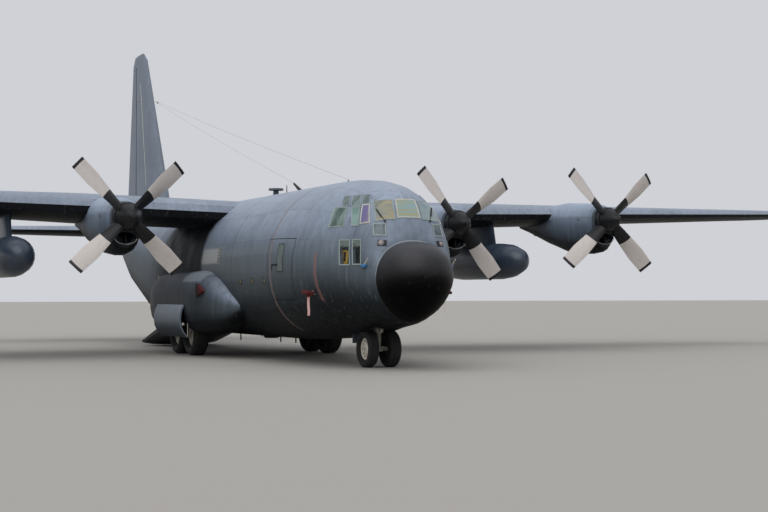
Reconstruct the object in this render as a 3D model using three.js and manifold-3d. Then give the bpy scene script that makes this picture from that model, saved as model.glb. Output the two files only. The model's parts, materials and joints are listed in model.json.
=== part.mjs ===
// A four-engined military transport aircraft parked on its wheels with its rear ramp down.
// Every size below is a full-size one in millimetres; the last lines bring the whole model to 1:2.
// x runs to the aircraft's port side, y runs aft from just behind the nose's tip, z runs up from the ground.
import * as THREE from "three";
import { mergeVertices } from "three/addons/utils/BufferGeometryUtils.js";
import Module from "manifold-3d";

const wasm = await Module();
wasm.setup();

// Driving dimensions.
const scale = 0.5;
const noseTip = -200;
const tailEnd = 29590;
const halfSpan = 20205;
const seam = 0.8; // gap between fixed pieces that touch
const running = 16; // gap between a moving piece and what is beside it
const bearing = 0.5; // radial gap of a pin in its bore
const pinSides = 16;
const wall = 90; // fuselage wall: skin, frames and lining
const radomeJoint = 800;
const noseJoint = 5100;
const tailJoint = 24800;
const floorTop = 1035;
const floorDepth = 100;
const holdTop = 3740;
const deckTop = 2200;
const deckDepth = 80;

const wing = {
  rootLead: 11090,
  rootChord: 4880,
  tipLead: 11690,
  tipChord: 2490,
  breakX: 5588,
  midZ: 4213,
  rise: Math.tan(THREE.MathUtils.degToRad(1.47)),
  twist: Math.tan(THREE.MathUtils.degToRad(2.5)),
  rootThick: 0.18,
  tipThick: 0.12,
  camber: 0.018,
  hinge: 0.74, // share of the chord where flaps and ailerons start
};
const prop = { y: 8580, radius: 2055, tip: 7960, back: 8790, spinner: 400 };
const engines = [
  { name: "outer_starboard", x: -10476, z: 4230, turn: 42 },
  { name: "inner_starboard", x: -5122, z: 4020, turn: 44 },
  { name: "inner_port", x: 5122, z: 4020, turn: 38.5 },
  { name: "outer_port", x: 10476, z: 4230, turn: 42.7 },
];
const tank = { x: 7880, z: 2940, radius: 590, nose: 9520, length: 7120 };
const noseWheel = { y: 2900, x: 310, radius: 480, width: 300 };
const mainWheel = { y: 12700, pitch: 1524, x: 2175, radius: 710, width: 500 };
const wheelSides = 20;
const sides = [
  { name: "port", sign: 1 },
  { name: "starboard", sign: -1 },
];

// Materials, as the aircraft shows them.
const paint = (color, roughness = 0.6, metalness = 0) =>
  new THREE.MeshStandardMaterial({ color, roughness, metalness });
const greyPaint = paint(0x6d7780);
const darkGreyPaint = paint(0x4a5158);
const radomeBlack = paint(0x1f2022, 0.7);
const bladeWhite = paint(0xc9c4be, 0.5);
const tyreRubber = paint(0x141516, 0.9);
const gearMetal = paint(0xb9bab6, 0.4, 0.6);
const cabinGrey = paint(0x8a8f88, 0.8);
const glassTint = paint(0x8fa39a, 0.1);

const airframe = new THREE.Group();
const v3 = (x, y, z) => new THREE.Vector3(x, y, z);

// Solids: three.js geometry becomes a manifold for joining and cutting.
function solid(geometry) {
  const bare = geometry.clone();
  bare.deleteAttribute("normal");
  bare.deleteAttribute("uv");
  const merged = mergeVertices(bare, 1e-3);
  const points = merged.attributes.position;
  const corner = (i) => v3().fromBufferAttribute(points, i);
  const triangles = [];
  let six = 0;
  for (let i = 0; i < merged.index.count; i += 3) {
    const [a, b, c] = [0, 1, 2].map((k) => merged.index.getX(i + k));
    if (a === b || b === c || a === c) continue;
    triangles.push(a, b, c);
    six += corner(a).dot(v3().crossVectors(corner(b), corner(c)));
  }
  if (six < 0) triangles.reverse();
  return new wasm.Manifold(
    new wasm.Mesh({
      numProp: 3,
      vertProperties: new Float32Array(points.array),
      triVerts: new Uint32Array(triangles),
    }),
  );
}

// Adds a solid to the model as a named mesh, without the slivers that a cut leaves beside it.
function place(name, made, material) {
  const kept = made.decompose().reduce((big, b) => (b.volume() > big.volume() ? b : big));
  const mesh = kept.getMesh();
  const geometry = new THREE.BufferGeometry();
  geometry.setAttribute("position", new THREE.BufferAttribute(new Float32Array(mesh.vertProperties), 3));
  geometry.setIndex(new THREE.BufferAttribute(new Uint32Array(mesh.triVerts), 1));
  const piece = new THREE.Mesh(geometry, material);
  piece.name = name;
  airframe.add(piece);
  return kept;
}

const joined = (...parts) => parts.reduce((a, b) => a.add(b));

function box(x0, x1, y0, y1, z0, z1) {
  const g = new THREE.BoxGeometry(Math.abs(x1 - x0), Math.abs(y1 - y0), Math.abs(z1 - z0));
  return solid(g.translate((x0 + x1) / 2, (y0 + y1) / 2, (z0 + z1) / 2));
}

// A round bar between two points.
function bar(from, to, radius, endRadius = radius, count = 12) {
  const g = new THREE.CylinderGeometry(endRadius, radius, from.distanceTo(to), count);
  const along = to.clone().sub(from).normalize();
  g.applyQuaternion(new THREE.Quaternion().setFromUnitVectors(v3(0, 1, 0), along));
  return solid(g.translate((from.x + to.x) / 2, (from.y + to.y) / 2, (from.z + to.z) / 2));
}

// The bore that lets a bar of this radius turn inside it.
const boreRadius = (radius, count = 12) => (radius + bearing) / Math.cos(Math.PI / count);

// A closed skin through rings of the same number of points, capped flat at both ends.
function loft(rings) {
  const n = rings[0].length;
  const index = [];
  for (let r = 0; r + 1 < rings.length; r++)
    for (let i = 0; i < n; i++) {
      const a = r * n + i;
      const b = r * n + ((i + 1) % n);
      index.push(a, b, b + n, a, b + n, a + n);
    }
  const last = (rings.length - 1) * n;
  for (const [a, b, c] of capOf(rings[0])) index.push(a, c, b);
  for (const [a, b, c] of capOf(rings.at(-1))) index.push(a + last, b + last, c + last);
  const g = new THREE.BufferGeometry().setFromPoints(rings.flat());
  return solid(g.setIndex(index));
}

// The triangles of a flat ring, wound as the ring is.
function capOf(ring) {
  const normal = v3(0, 0, 0);
  ring.forEach((p, i) => normal.add(v3().crossVectors(p, ring[(i + 1) % ring.length])));
  const size = { x: Math.abs(normal.x), y: Math.abs(normal.y), z: Math.abs(normal.z) };
  const most = Math.max(size.x, size.y, size.z);
  const along = ["x", "y", "z"].find((k) => size[k] === most);
  const [u, v] = { x: ["y", "z"], y: ["z", "x"], z: ["x", "y"] }[along];
  const flat = ring.map((p) => new THREE.Vector2(p[u], p[v]));
  const turn = Math.sign(normal[along]);
  return THREE.ShapeUtils.triangulateShape(flat, []).map(([a, b, c]) => {
    const area = (flat[b].x - flat[a].x) * (flat[c].y - flat[a].y)
      - (flat[b].y - flat[a].y) * (flat[c].x - flat[a].x);
    return Math.sign(area) === turn ? [a, b, c] : [a, c, b];
  });
}

// A turned solid: profile points are [radius, distance along the axis], and a flat lies at the bottom.
function turned(profile, axis, count = wheelSides) {
  const g = new THREE.LatheGeometry(profile.map(([r, y]) => new THREE.Vector2(r, y)), count);
  g.rotateY(Math.PI / count);
  if (axis === "x") g.rotateZ(-Math.PI / 2);
  return solid(g);
}

// Splits a full surface along a hinge line: the moving part has a round nose and a pin at each end.
function hinged(full, from, to, radii, across) {
  const along = to.clone().sub(from).normalize();
  const pin = { radius: 30, out: 90, deeper: 12 };
  const reach = 4000;
  const slab = (ahead, over) => loft([
    from.clone().addScaledVector(along, -over),
    to.clone().addScaledVector(along, over),
  ].map((p) => [[-ahead, 1], [reach, 1], [reach, -1], [-ahead, -1]].map(([dy, s]) =>
    v3(p.x, p.y + dy, p.z).addScaledVector(across, s * reach / 4))));
  const pinned = (out, radius) => bar(
    from.clone().addScaledVector(along, -out),
    to.clone().addScaledVector(along, out),
    radius,
  );
  const nose = bar(from, to, radii[0], radii[1]).intersect(slab(reach, 0));
  const moving = joined(full.intersect(slab(0, 0)), nose, pinned(pin.out, pin.radius));
  const fixed = full
    .subtract(slab(Math.max(...radii) + running, running))
    .subtract(pinned(pin.out + pin.deeper, boreRadius(pin.radius)));
  return { moving, fixed };
}

// Fuselage sections: station, half width, top, bottom, height of the widest point, and squareness.
const mainSections = [
  // y, half, top, bottom, mid, upper, lower
  [radomeJoint, 985, 3140, 1170, 2220, 2.2, 1.75],
  [1040, 1110, 3760, 1110, 2210, 2.4, 1.75],
  [1270, 1240, 4210, 1080, 2270, 2.3, 1.8],
  [1800, 1490, 4540, 1020, 2370, 2.0, 1.85],
  [2600, 1780, 4740, 930, 2480, 2.0, 1.95],
  [3600, 2020, 4850, 800, 2580, 2.0, 2.2],
  [5100, 2150, 4880, 680, 2660, 2.0, 2.4],
  [7000, 2160, 4880, 600, 2690, 2.0, 2.5],
  [17650, 2160, 4880, 600, 2690, 2.0, 2.7],
  [19000, 2130, 4880, 1130, 2850, 2.0, 3.2],
  [21350, 1990, 4850, 2050, 3250, 2.0, 3.6],
  [23000, 1790, 4810, 2700, 3650, 2.0, 3.4],
  [24800, 1500, 4760, 3320, 3990, 2.0, 3.0],
  [27000, 1000, 4670, 3860, 4230, 2.0, 2.4],
  [28600, 600, 4560, 4080, 4320, 2.0, 2.2],
  [tailEnd, 220, 4430, 4190, 4310, 2.0, 2.0],
];
const ringPoints = 32;
// Stations between those of the nose, where the skin curves most.
const noseStations = [880, 960, 1150, 1400, 1580, 2030, 2300, 3050, 4300];

// The slope of one column at a main station, which never overshoots its neighbours.
function slopeAt(i, column) {
  const rate = (j) => {
    const [a, b] = [mainSections[j], mainSections[j + 1]];
    return (b[column] - a[column]) / (b[0] - a[0]);
  };
  if (i === 0) return rate(0);
  const [before, after] = [rate(i - 1), rate(i)];
  return before * after <= 0 ? 0 : (2 * before * after) / (before + after);
}

// A section on the smooth curve through the main ones.
function smoothSection(y) {
  const i = mainSections.findIndex((s) => s[0] > y) - 1;
  const [a, b] = [mainSections[i], mainSections[i + 1]];
  const step = b[0] - a[0];
  const t = (y - a[0]) / step;
  return a.map((v, k) => (k === 0 ? y : v * (1 + 2 * t) * (1 - t) ** 2
    + b[k] * t * t * (3 - 2 * t)
    + step * (slopeAt(i, k) * t * (1 - t) ** 2 - slopeAt(i + 1, k) * t * t * (1 - t))));
}

const fuselageSections = [...mainSections, ...noseStations.map(smoothSection)].sort((a, b) => a[0] - b[0]);

function sectionAt(y) {
  const t = fuselageSections;
  const i = Math.max(1, t.findIndex((s) => s[0] >= y));
  const share = (y - t[i - 1][0]) / (t[i][0] - t[i - 1][0]);
  return t[i - 1].map((v, k) => v + (t[i][k] - v) * share);
}

function fuselageRing(y, inset) {
  const [, half, top, bottom, mid, upper, lower] = sectionAt(y);
  const power = (v, n) => Math.sign(v) * Math.abs(v) ** (2 / n);
  return Array.from({ length: ringPoints }, (_, i) => {
    const angle = ((i + 0.5) / ringPoints) * 2 * Math.PI;
    const over = Math.sin(angle) > 0;
    const squareness = over ? upper : lower;
    const reach = over ? top - inset - mid : mid - bottom - inset;
    return v3(
      power(Math.cos(angle), squareness) * (half - inset),
      y,
      mid + power(Math.sin(angle), squareness) * reach,
    );
  });
}

// A stretch of the fuselage as a solid, its skin moved in by inset.
function fuselage(y0, y1, inset = 0) {
  const between = fuselageSections.map((s) => s[0]).filter((y) => y > y0 + 1 && y < y1 - 1);
  return loft([y0, ...between, y1].map((y) => fuselageRing(y, inset)));
}

const far = 6000;

// Radome: a blunt dome whose rings close towards a tip above its middle, with a flatter chin.
const dome = { tipRise: 110, chin: 1.2 };

function radome() {
  const [, , , , middle] = fuselageSections[0];
  const depth = radomeJoint - seam - noseTip;
  const rings = [4, 14, 28, 44, 60, 75, 90].map((degrees) => {
    const a = THREE.MathUtils.degToRad(degrees);
    return fuselageRing(radomeJoint, 0).map((p) => v3(
      p.x * Math.sin(a),
      noseTip + depth * (1 - Math.cos(a)),
      middle + dome.tipRise * Math.cos(a) + (p.z - middle) * Math.sin(a) ** (p.z < middle ? dome.chin : 1),
    ));
  });
  place("radome", loft(rings), radomeBlack);
}

// Nose: hollow above the flight deck and in the crew's entry, with the nose leg's well below.
const noseWell = { y0: 2150, y1: 3700, half: 430, top: 1760 };
const lobbyFront = 3900;
const crewDoor = {
  y0: 4050, y1: 4830, z0: 1150, z1: 2350, hingeX: 1485, pinRadius: 28, pinOut: 80, sill: 1110,
  bevel: 400, bevelAngles: [26, 40], // the door's lower edge, at its front and its rear
};
const deck = { front: 1180, rear: 3900, bulkhead: 60, panel: [1420, 1600], panelTop: 3450, panelHalf: 900 };
// Window holes in the nose's sides, corners as [y, z]: the lower row, the upper row, the low pair.
const sideWindows = [
  [[2635, 4028], [2198, 4008], [2022, 3557], [2468, 3547]],
  [[2055, 4015], [1809, 4014], [1537, 3562], [1745, 3569]],
  [[1769, 4050], [1580, 4052], [1271, 3624], [1503, 3610]],
  [[2674, 4318], [2437, 4306], [2176, 4079], [2423, 4075]],
  [[2363, 4321], [2133, 4317], [1829, 4063], [2113, 4076]],
  [[2076, 4319], [1869, 4317], [1630, 4105], [1813, 4097]],
  [[1968, 3185], [1651, 3176], [1545, 2601], [1841, 2605]],
  [[1559, 3186], [1311, 3179], [1221, 2608], [1446, 2612]],
];
// Windscreen holes, corners as [x, z]: the middle pane, then the two that each side has.
const middleWindow = [[-286, 3750], [286, 3750], [240, 4170], [-240, 4170]];
const frontWindows = [
  [[378, 3718], [784, 3669], [681, 4122], [354, 4154]],
  [[672, 3303], [913, 3304], [875, 3563], [640, 3562]],
];

// A hole's prism through a wall: its corners are in the plane that faces along x or along y.
function prism(corners, axis, from, to) {
  const at = (depth) => corners.map(([a, b]) => (axis === "x" ? v3(depth, a, b) : v3(a, depth, b)));
  return loft([at(from), at(to)]);
}

function nose() {
  const outer = fuselage(radomeJoint, noseJoint - seam);
  const inner = fuselage(radomeJoint, noseJoint, wall)
    .intersect(box(-far, far, radomeJoint + wall, noseJoint + wall, deckTop - deckDepth, far));
  const lobby = fuselage(lobbyFront, noseJoint, wall)
    .intersect(box(-far, far, lobbyFront, noseJoint + wall, floorTop, deckTop));
  const well = box(-noseWell.half, noseWell.half, noseWell.y0, noseWell.y1, 0, noseWell.top);
  let shell = outer.subtract(inner).subtract(lobby).subtract(well);
  for (const corners of sideWindows) shell = shell.subtract(prism(corners, "x", -far, far));
  const front = sides.flatMap(({ sign }) => frontWindows.map((c) => c.map(([x, z]) => [sign * x, z])));
  for (const corners of [middleWindow, ...front]) {
    shell = shell.subtract(prism(corners, "y", radomeJoint, radomeJoint + 1000));
  }

  const { y0, y1, z0, z1, pinRadius, pinOut } = crewDoor;
  const skin = outer.subtract(fuselage(radomeJoint, noseJoint, wall));
  const opening = (grow, low) => box(900, far, y0 - grow, y1 + grow, low, z1 + grow);
  const hinge = v3(crewDoor.hingeX, 0, z0 + wall / 2);
  const rod = (a, b, radius) => bar(v3(hinge.x, a, hinge.z), v3(hinge.x, b, hinge.z), radius);
  const bevel = loft([y0 - 1, y1 + 1].map((y, i) => [
    v3(hinge.x, y, hinge.z - 1),
    v3(hinge.x + crewDoor.bevel, y, hinge.z - 1),
    v3(
      hinge.x + crewDoor.bevel,
      y,
      hinge.z + crewDoor.bevel * Math.tan(THREE.MathUtils.degToRad(crewDoor.bevelAngles[i])),
    ),
  ]));
  const door = joined(
    skin.intersect(opening(0, hinge.z)).subtract(bevel),
    rod(y0, y1, wall / 2),
    rod(y0 - pinOut, y1 + pinOut, pinRadius),
  );
  shell = shell
    .subtract(opening(running, crewDoor.sill))
    .subtract(rod(y0 - pinOut - running, y1 + pinOut + running, boreRadius(pinRadius)));
  place("nose_fuselage", shell, greyPaint);
  place("crew_door", door, greyPaint);
}

// Glass: a thin liner behind the window holes of the nose.
const glassDepth = 14;
const upperGlass = { y0: 1000, y1: 2850, z0: 3260, z1: 4400 };
const lowerGlass = { y0: 1150, y1: 2050, z0: 2520, z1: 3230 };

function glazing() {
  const liner = ({ y0, y1, z0, z1 }) => fuselage(radomeJoint, noseJoint, wall + seam)
    .subtract(fuselage(radomeJoint, noseJoint, wall + seam + glassDepth))
    .intersect(box(-far, far, y0, y1, z0, z1));
  place("windscreen_glass", liner(upperGlass), glassTint);
  for (const { name, sign } of sides) {
    const half = liner(lowerGlass).intersect(box(sign * 100, sign * far, 0, noseJoint, 0, far));
    place(`lower_glass_${name}`, half, glassTint);
  }
}

// Flight deck: floor, rear bulkhead, two seats and the instrument panel, in one piece.
function flightDeck() {
  const cavity = fuselage(radomeJoint, noseJoint, wall + seam);
  const bottom = deckTop - seam;
  const slab = box(-far, far, deck.front, deck.rear, deckTop - deckDepth + seam, deckTop);
  const bulkhead = box(-far, far, deck.rear - deck.bulkhead, deck.rear, bottom, far);
  const panel = box(-deck.panelHalf, deck.panelHalf, ...deck.panel, bottom, deck.panelTop);
  const console = box(-230, 230, deck.panel[1] - 10, 2500, bottom, 2650);
  const seats = sides.map(({ sign }) => joined(
    box(sign * 330, sign * 830, 2350, 2850, bottom, 2680),
    box(sign * 330, sign * 830, 2760, 2880, 2670, 3420),
    box(sign * 450, sign * 710, 2770, 2860, 3410, 3620),
  ));
  const all = joined(slab, bulkhead, panel, console, ...seats);
  place("flight_deck", all.intersect(cavity), cabinGrey);
}

// Wing lines, each as a function of the distance from the middle.
const tipShare = (x) => Math.max(0, (Math.abs(x) - wing.breakX) / (halfSpan - wing.breakX));
const leadAt = (x) => wing.rootLead + (wing.tipLead - wing.rootLead) * tipShare(x);
const chordAt = (x) => wing.rootChord + (wing.tipChord - wing.rootChord) * tipShare(x);
const thickAt = (x) => wing.rootThick + (wing.tipThick - wing.rootThick) * tipShare(x);
const halfThick = (s) =>
  5 * (0.2969 * Math.sqrt(s) - 0.126 * s - 0.3516 * s ** 2 + 0.2843 * s ** 3 - 0.1015 * s ** 4);
const foilStations = [1, 0.85, 0.74, 0.55, 0.35, 0.2, 0.1, 0.03];

// An aerofoil's outline, [distance from the leading edge, height], grown outwards by pad.
function foil(chord, thick, camber, pad = 0) {
  const middle = (s) => camber * 4 * s * (1 - s) * chord;
  const half = (s) => halfThick(s) * thick * chord + pad;
  const along = (s) => s * (chord + pad);
  const upper = foilStations.map((s) => [along(s), middle(s) + half(s)]);
  const lower = foilStations.toReversed().map((s) => [along(s), middle(s) - half(s)]);
  return [...upper, [-pad, 0], ...lower];
}

// The outline of the room inside an aerofoil, between its spars and inside its skin.
function room(chord, thick) {
  const skin = 60;
  const upper = [0.12, 0.3, 0.52].map((s) => [s * chord, halfThick(s) * thick * chord - skin]);
  return [...upper, ...upper.toReversed().map(([back, up]) => [back, -up])];
}

function wingPoint(x, back, up) {
  const lean = wing.twist * (back - 0.4 * chordAt(x));
  return v3(x, leadAt(x) + back, wing.midZ + wing.rise * Math.abs(x) - lean + up);
}

const wingRing = (x, pad = 0) =>
  foil(chordAt(x), thickAt(x), wing.camber, pad).map(([back, up]) => wingPoint(x, back, up));

function wingHinge(x) {
  const share = wing.hinge;
  return wingPoint(x, share * chordAt(x), wing.camber * 4 * share * (1 - share) * chordAt(x));
}

// The part of the wing behind the hinge line between two stations, as a cutting block.
function wingRear(x0, x1, grow) {
  const reach = 2500;
  return loft([x0 - grow, x1 + grow].map((x) => {
    const p = wingHinge(x);
    return [[-grow, 1], [reach, 1], [reach, -1], [-grow, -1]].map(([back, side]) =>
      v3(x, p.y + back, p.z + side * reach));
  }));
}

const tipRounding = 260;
const wingFull = (pad) => joined(...sides.map(({ sign }) =>
  loft([0, wing.breakX, halfSpan - tipRounding].map((x) => wingRing(sign * x, pad)))));
const innerFlap = { x0: 2060, x1: 5540 };
const outerFlap = { x0: 5640, x1: 12650 };
const aileron = { x0: 12800, x1: 19350, radii: [130, 72] };

function wings() {
  let centre = joined(
    loft([wingRing(-wing.breakX + seam), wingRing(0)]),
    loft([wingRing(0), wingRing(wing.breakX - seam)]),
  );
  for (const { name, sign } of sides) {
    const flap = (x0, x1) => (sign > 0 ? [x0, x1] : [-x1, -x0]);
    const inner = flap(innerFlap.x0, innerFlap.x1);
    place(`flap_inner_${name}`, centre.intersect(wingRear(...inner, 0)), greyPaint);
    centre = centre.subtract(wingRear(...inner, seam));

    const endRing = wingRing(sign * halfSpan);
    const base = endRing[foilStations.length];
    const tipRing = endRing.map((p) =>
      v3(p.x, base.y + 150 + (p.y - base.y) * 0.88, base.z + (p.z - base.z) * 0.35));
    const outer = loft([
      wingRing(sign * (wing.breakX + seam)),
      wingRing(sign * (halfSpan - tipRounding)),
      tipRing,
    ]);
    const flapRange = flap(outerFlap.x0, outerFlap.x1);
    place(`flap_outer_${name}`, outer.intersect(wingRear(...flapRange, 0)), greyPaint);
    const { moving, fixed } = hinged(
      outer.subtract(wingRear(...flapRange, seam)),
      wingHinge(sign * aileron.x0),
      wingHinge(sign * aileron.x1),
      aileron.radii,
      v3(0, 0, 1),
    );
    place(`wing_${name}`, fixed, greyPaint);
    place(`aileron_${name}`, moving, greyPaint);
  }
  place("wing_centre", centre, greyPaint);
}

// Main gear wells, cut through the fuselage's lower corners and the fairings beside them.
const mainWell = { y0: 11180, y1: 14220, x0: 1640, top: 1490, wall: 70 };
const paraDoor = { y0: 15950, y1: 16860, z0: floorTop, z1: 2865 };
const rampHinge = { y: 17650, z: 960 };
const ramp = { half: 1420, end: 21350, depth: 190, frontRadius: 365, knuckle: 75 };
const hingePin = { radius: 45, out: 50 };
const hingeBore = boreRadius(hingePin.radius, pinSides);
// On the crown: a leaning mast and a flat round antenna on a stalk.
const antennas = {
  foot: [8440, 4790], head: [9200, 5130], station: 10800, stalk: 55, disc: { z0: 5030, z1: 5090, radius: 230 },
};
const crossBar = (half, { y, z }, radius) => bar(v3(-half, y, z), v3(half, y, z), radius, radius, pinSides);
const wellBox = (sign, grow) => box(
  sign * (mainWell.x0 - grow), sign * far,
  mainWell.y0 - grow, mainWell.y1 + grow,
  -grow, mainWell.top + grow,
);

function centreFuselage() {
  const [y0, y1] = [noseJoint, rampHinge.y];
  const outer = fuselage(y0, y1 - seam);
  const hold = fuselage(y0 - wall, y1 + wall, wall)
    .intersect(box(-far, far, 0, tailEnd, floorTop - floorDepth, holdTop));
  let shell = outer.subtract(hold);
  for (const { name, sign } of sides) {
    shell = shell.add(wellBox(sign, mainWell.wall).intersect(outer)).subtract(wellBox(sign, 0));
    const door = (grow) => box(sign * 1500, sign * far, paraDoor.y0 - grow, paraDoor.y1 + grow,
      paraDoor.z0 - grow, paraDoor.z1 + grow);
    place(`paratroop_door_${name}`, shell.intersect(door(0)), greyPaint);
    shell = shell.subtract(door(seam));
  }
  const recess = bar(
    v3(-ramp.half - running, rampHinge.y, rampHinge.z),
    v3(ramp.half + running, rampHinge.y, rampHinge.z),
    ramp.frontRadius + running,
  );
  shell = shell
    .subtract(wingFull(seam))
    .subtract(recess.intersect(box(-far, far, 0, far * 4, 0, floorTop + running)))
    .subtract(crossBar(ramp.half + 2 * running + hingePin.out, rampHinge, hingeBore));
  const { foot, head, station, stalk, disc } = antennas;
  const mast = bar(v3(0, ...foot), v3(0, ...head), 60, 25);
  const puck = joined(
    bar(v3(0, station, foot[1]), v3(0, station, disc.z0 + 20), stalk),
    bar(v3(0, station, disc.z0), v3(0, station, disc.z1), disc.radius),
  );
  place("centre_fuselage", joined(shell, mast, puck), greyPaint);

  const floorEnd = y1 - ramp.knuckle - running;
  const floor = fuselage(y0, floorEnd, wall + seam)
    .intersect(box(-far, far, y0, floorEnd, floorTop - floorDepth + seam, floorTop))
    .subtract(wellBox(1, mainWell.wall + seam))
    .subtract(wellBox(-1, mainWell.wall + seam));
  place("cargo_floor", floor, darkGreyPaint);
}

// Cargo ramp and the door above it, each made shut and then turned to its place.
const turnAbout = (made, y, z, degrees) =>
  made.translate([0, -y, -z]).rotate([degrees, 0, 0]).translate([0, y, z]);
const rampRest = { clearance: 10 };
const aftDoor = { half: 1330, y0: 21380, y1: 24200, depth: 130, raise: 31, notch: 170 };

function rampAngles() {
  const endLow = sectionAt(ramp.end)[3];
  const reach = Math.hypot(ramp.end - rampHinge.y, endLow - rampHinge.z);
  const shut = Math.atan2(endLow - rampHinge.z, ramp.end - rampHinge.y);
  const down = Math.asin((rampRest.clearance - rampHinge.z) / reach);
  return { shut, down, travel: THREE.MathUtils.radToDeg(shut - down) };
}

function rearOpening() {
  const endTop = sectionAt(ramp.end)[3] + ramp.depth;
  const under = (grow) => prism([
    [rampHinge.y - grow, -far / 2], [ramp.end + grow, -far / 2],
    [ramp.end + grow, endTop + grow], [rampHinge.y - grow, floorTop + grow],
  ], "x", -ramp.half - grow, ramp.half + grow);
  const doorBlock = (grow) => box(
    -aftDoor.half - grow, aftDoor.half + grow,
    aftDoor.y0 - grow, aftDoor.y1 + grow,
    0, holdTop,
  );
  const outer = fuselage(rampHinge.y, tailJoint);
  const front = crossBar(ramp.half, rampHinge, ramp.frontRadius)
    .intersect(box(-far, far, rampHinge.y, far * 4, 0, floorTop));
  const slab = outer.intersect(under(0));
  const sweep = box(-far, far, rampHinge.y - 1, rampHinge.y + 700, 0, rampHinge.z - 60);
  const shutRamp = joined(
    slab.subtract(sweep),
    slab.intersect(sweep).intersect(front),
    crossBar(ramp.half, rampHinge, ramp.knuckle),
    crossBar(ramp.half + running + hingePin.out, rampHinge, hingePin.radius),
  );
  const { travel } = rampAngles();
  place("cargo_ramp", turnAbout(shutRamp, rampHinge.y, rampHinge.z, -travel), darkGreyPaint);

  const doorHinge = { y: aftDoor.y1 - 60, z: sectionAt(aftDoor.y1)[3] + aftDoor.depth / 2 };
  const lug = { x: 560, half: 44, pin: 30 };
  const lugs = (grow) => sides.map(({ sign }) => bar(
    v3(sign * lug.x - lug.half - grow, doorHinge.y, doorHinge.z),
    v3(sign * lug.x + lug.half + grow, doorHinge.y, doorHinge.z),
    aftDoor.depth / 2 + grow,
    aftDoor.depth / 2 + grow,
    pinSides,
  ));
  const shutDoor = joined(
    outer.subtract(fuselage(rampHinge.y, tailJoint, aftDoor.depth))
      .intersect(box(-aftDoor.half, aftDoor.half, aftDoor.y0, doorHinge.y, 0, holdTop))
      .subtract(box(-far, far, doorHinge.y - aftDoor.notch, doorHinge.y, doorHinge.z + 30, far)),
    crossBar(lug.x + 400, doorHinge, aftDoor.depth / 2),
  ).subtract(joined(...lugs(running))).add(crossBar(lug.x + 200, doorHinge, lug.pin));
  place("aft_cargo_door", turnAbout(shutDoor, doorHinge.y, doorHinge.z, -aftDoor.raise), greyPaint);

  const inner = fuselage(rampHinge.y - wall, tailJoint - wall, wall);
  const shell = outer
    .subtract(inner)
    .subtract(stabFull(seam))
    .subtract(under(running))
    .subtract(doorBlock(running))
    .subtract(crossBar(ramp.half + 2 * running + hingePin.out, rampHinge, hingeBore));
  const arms = sides.map(({ sign }) => box(
    sign * (lug.x - lug.half), sign * (lug.x + lug.half),
    doorHinge.y, aftDoor.y1 + 80, doorHinge.z - 45, doorHinge.z + 35));
  const hung = joined(shell, ...arms, ...lugs(0))
    .subtract(crossBar(lug.x + 200, doorHinge, boreRadius(lug.pin, pinSides)));
  place("aft_fuselage", hung, greyPaint);
}

// Tail: cone, stabilizer with elevators, fin with rudder.
const stab = {
  rootLead: 24650,
  rootChord: 4150,
  tipLead: 25650,
  tipChord: 2050,
  half: 8025,
  z: 4330,
  thick: 0.12,
  hinge: 0.7,
  roomEnd: 7000,
};
const coneRoomEnd = 28400;
const fin = {
  base: 4300,
  top: 11630,
  thick: 0.11,
  hinge: 0.64,
  lead: [22640, 26640],
  trail: [29620, 28560],
  roomTop: 9800,
  tipDepth: 330,
  tipMiddle: 27600,
};

function stabPoint(x, back, up) {
  return v3(x, stab.rootLead + (stab.tipLead - stab.rootLead) * Math.abs(x) / stab.half + back, stab.z + up);
}
const stabChord = (x) => stab.rootChord + (stab.tipChord - stab.rootChord) * Math.abs(x) / stab.half;
const stabRing = (x, pad = 0) =>
  foil(stabChord(x), stab.thick, 0, pad).map(([back, up]) => stabPoint(x, back, up));
const stabHinge = (x) => stabPoint(x, stab.hinge * stabChord(x), 0);
const stabFull = (pad = 0) => joined(...sides.map(({ sign }) =>
  loft([stabRing(0, pad), stabRing(sign * stab.half, pad)])));
const stabRoom = (x) => room(stabChord(x), stab.thick).map(([back, up]) => stabPoint(x, back, up));

function finLine(z) {
  const share = (z - fin.base) / (fin.top - fin.base);
  const lead = fin.lead[0] + (fin.lead[1] - fin.lead[0]) * share;
  const trail = fin.trail[0] + (fin.trail[1] - fin.trail[0]) * share;
  return { lead, chord: trail - lead };
}
const finPoint = (z, back, side) => v3(side, finLine(z).lead + back, z);
const finRing = (z) => foil(finLine(z).chord, fin.thick, 0).map(([back, side]) => finPoint(z, back, side));
const finRoom = (z) => room(finLine(z).chord, fin.thick).map(([back, side]) => finPoint(z, back, side));
const finHinge = (z) => finPoint(z, fin.hinge * finLine(z).chord, 0);

const elevator = { x0: 1180, x1: 7800, radii: [118, 72] };
const rudder = { low: 5000, high: 11100, bottom: 4960, radii: [165, 75] };
// Dorsal fillet ahead of the fin: [chord, thickness share, leading edge, height, width share].
const filletSections = [
  [4200, 0.06, 20200, 4600, 1],
  [2600, 0.05, 22700, 5250, 0.8],
  [900, 0.05, 23450, 5900, 0.4],
];

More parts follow.
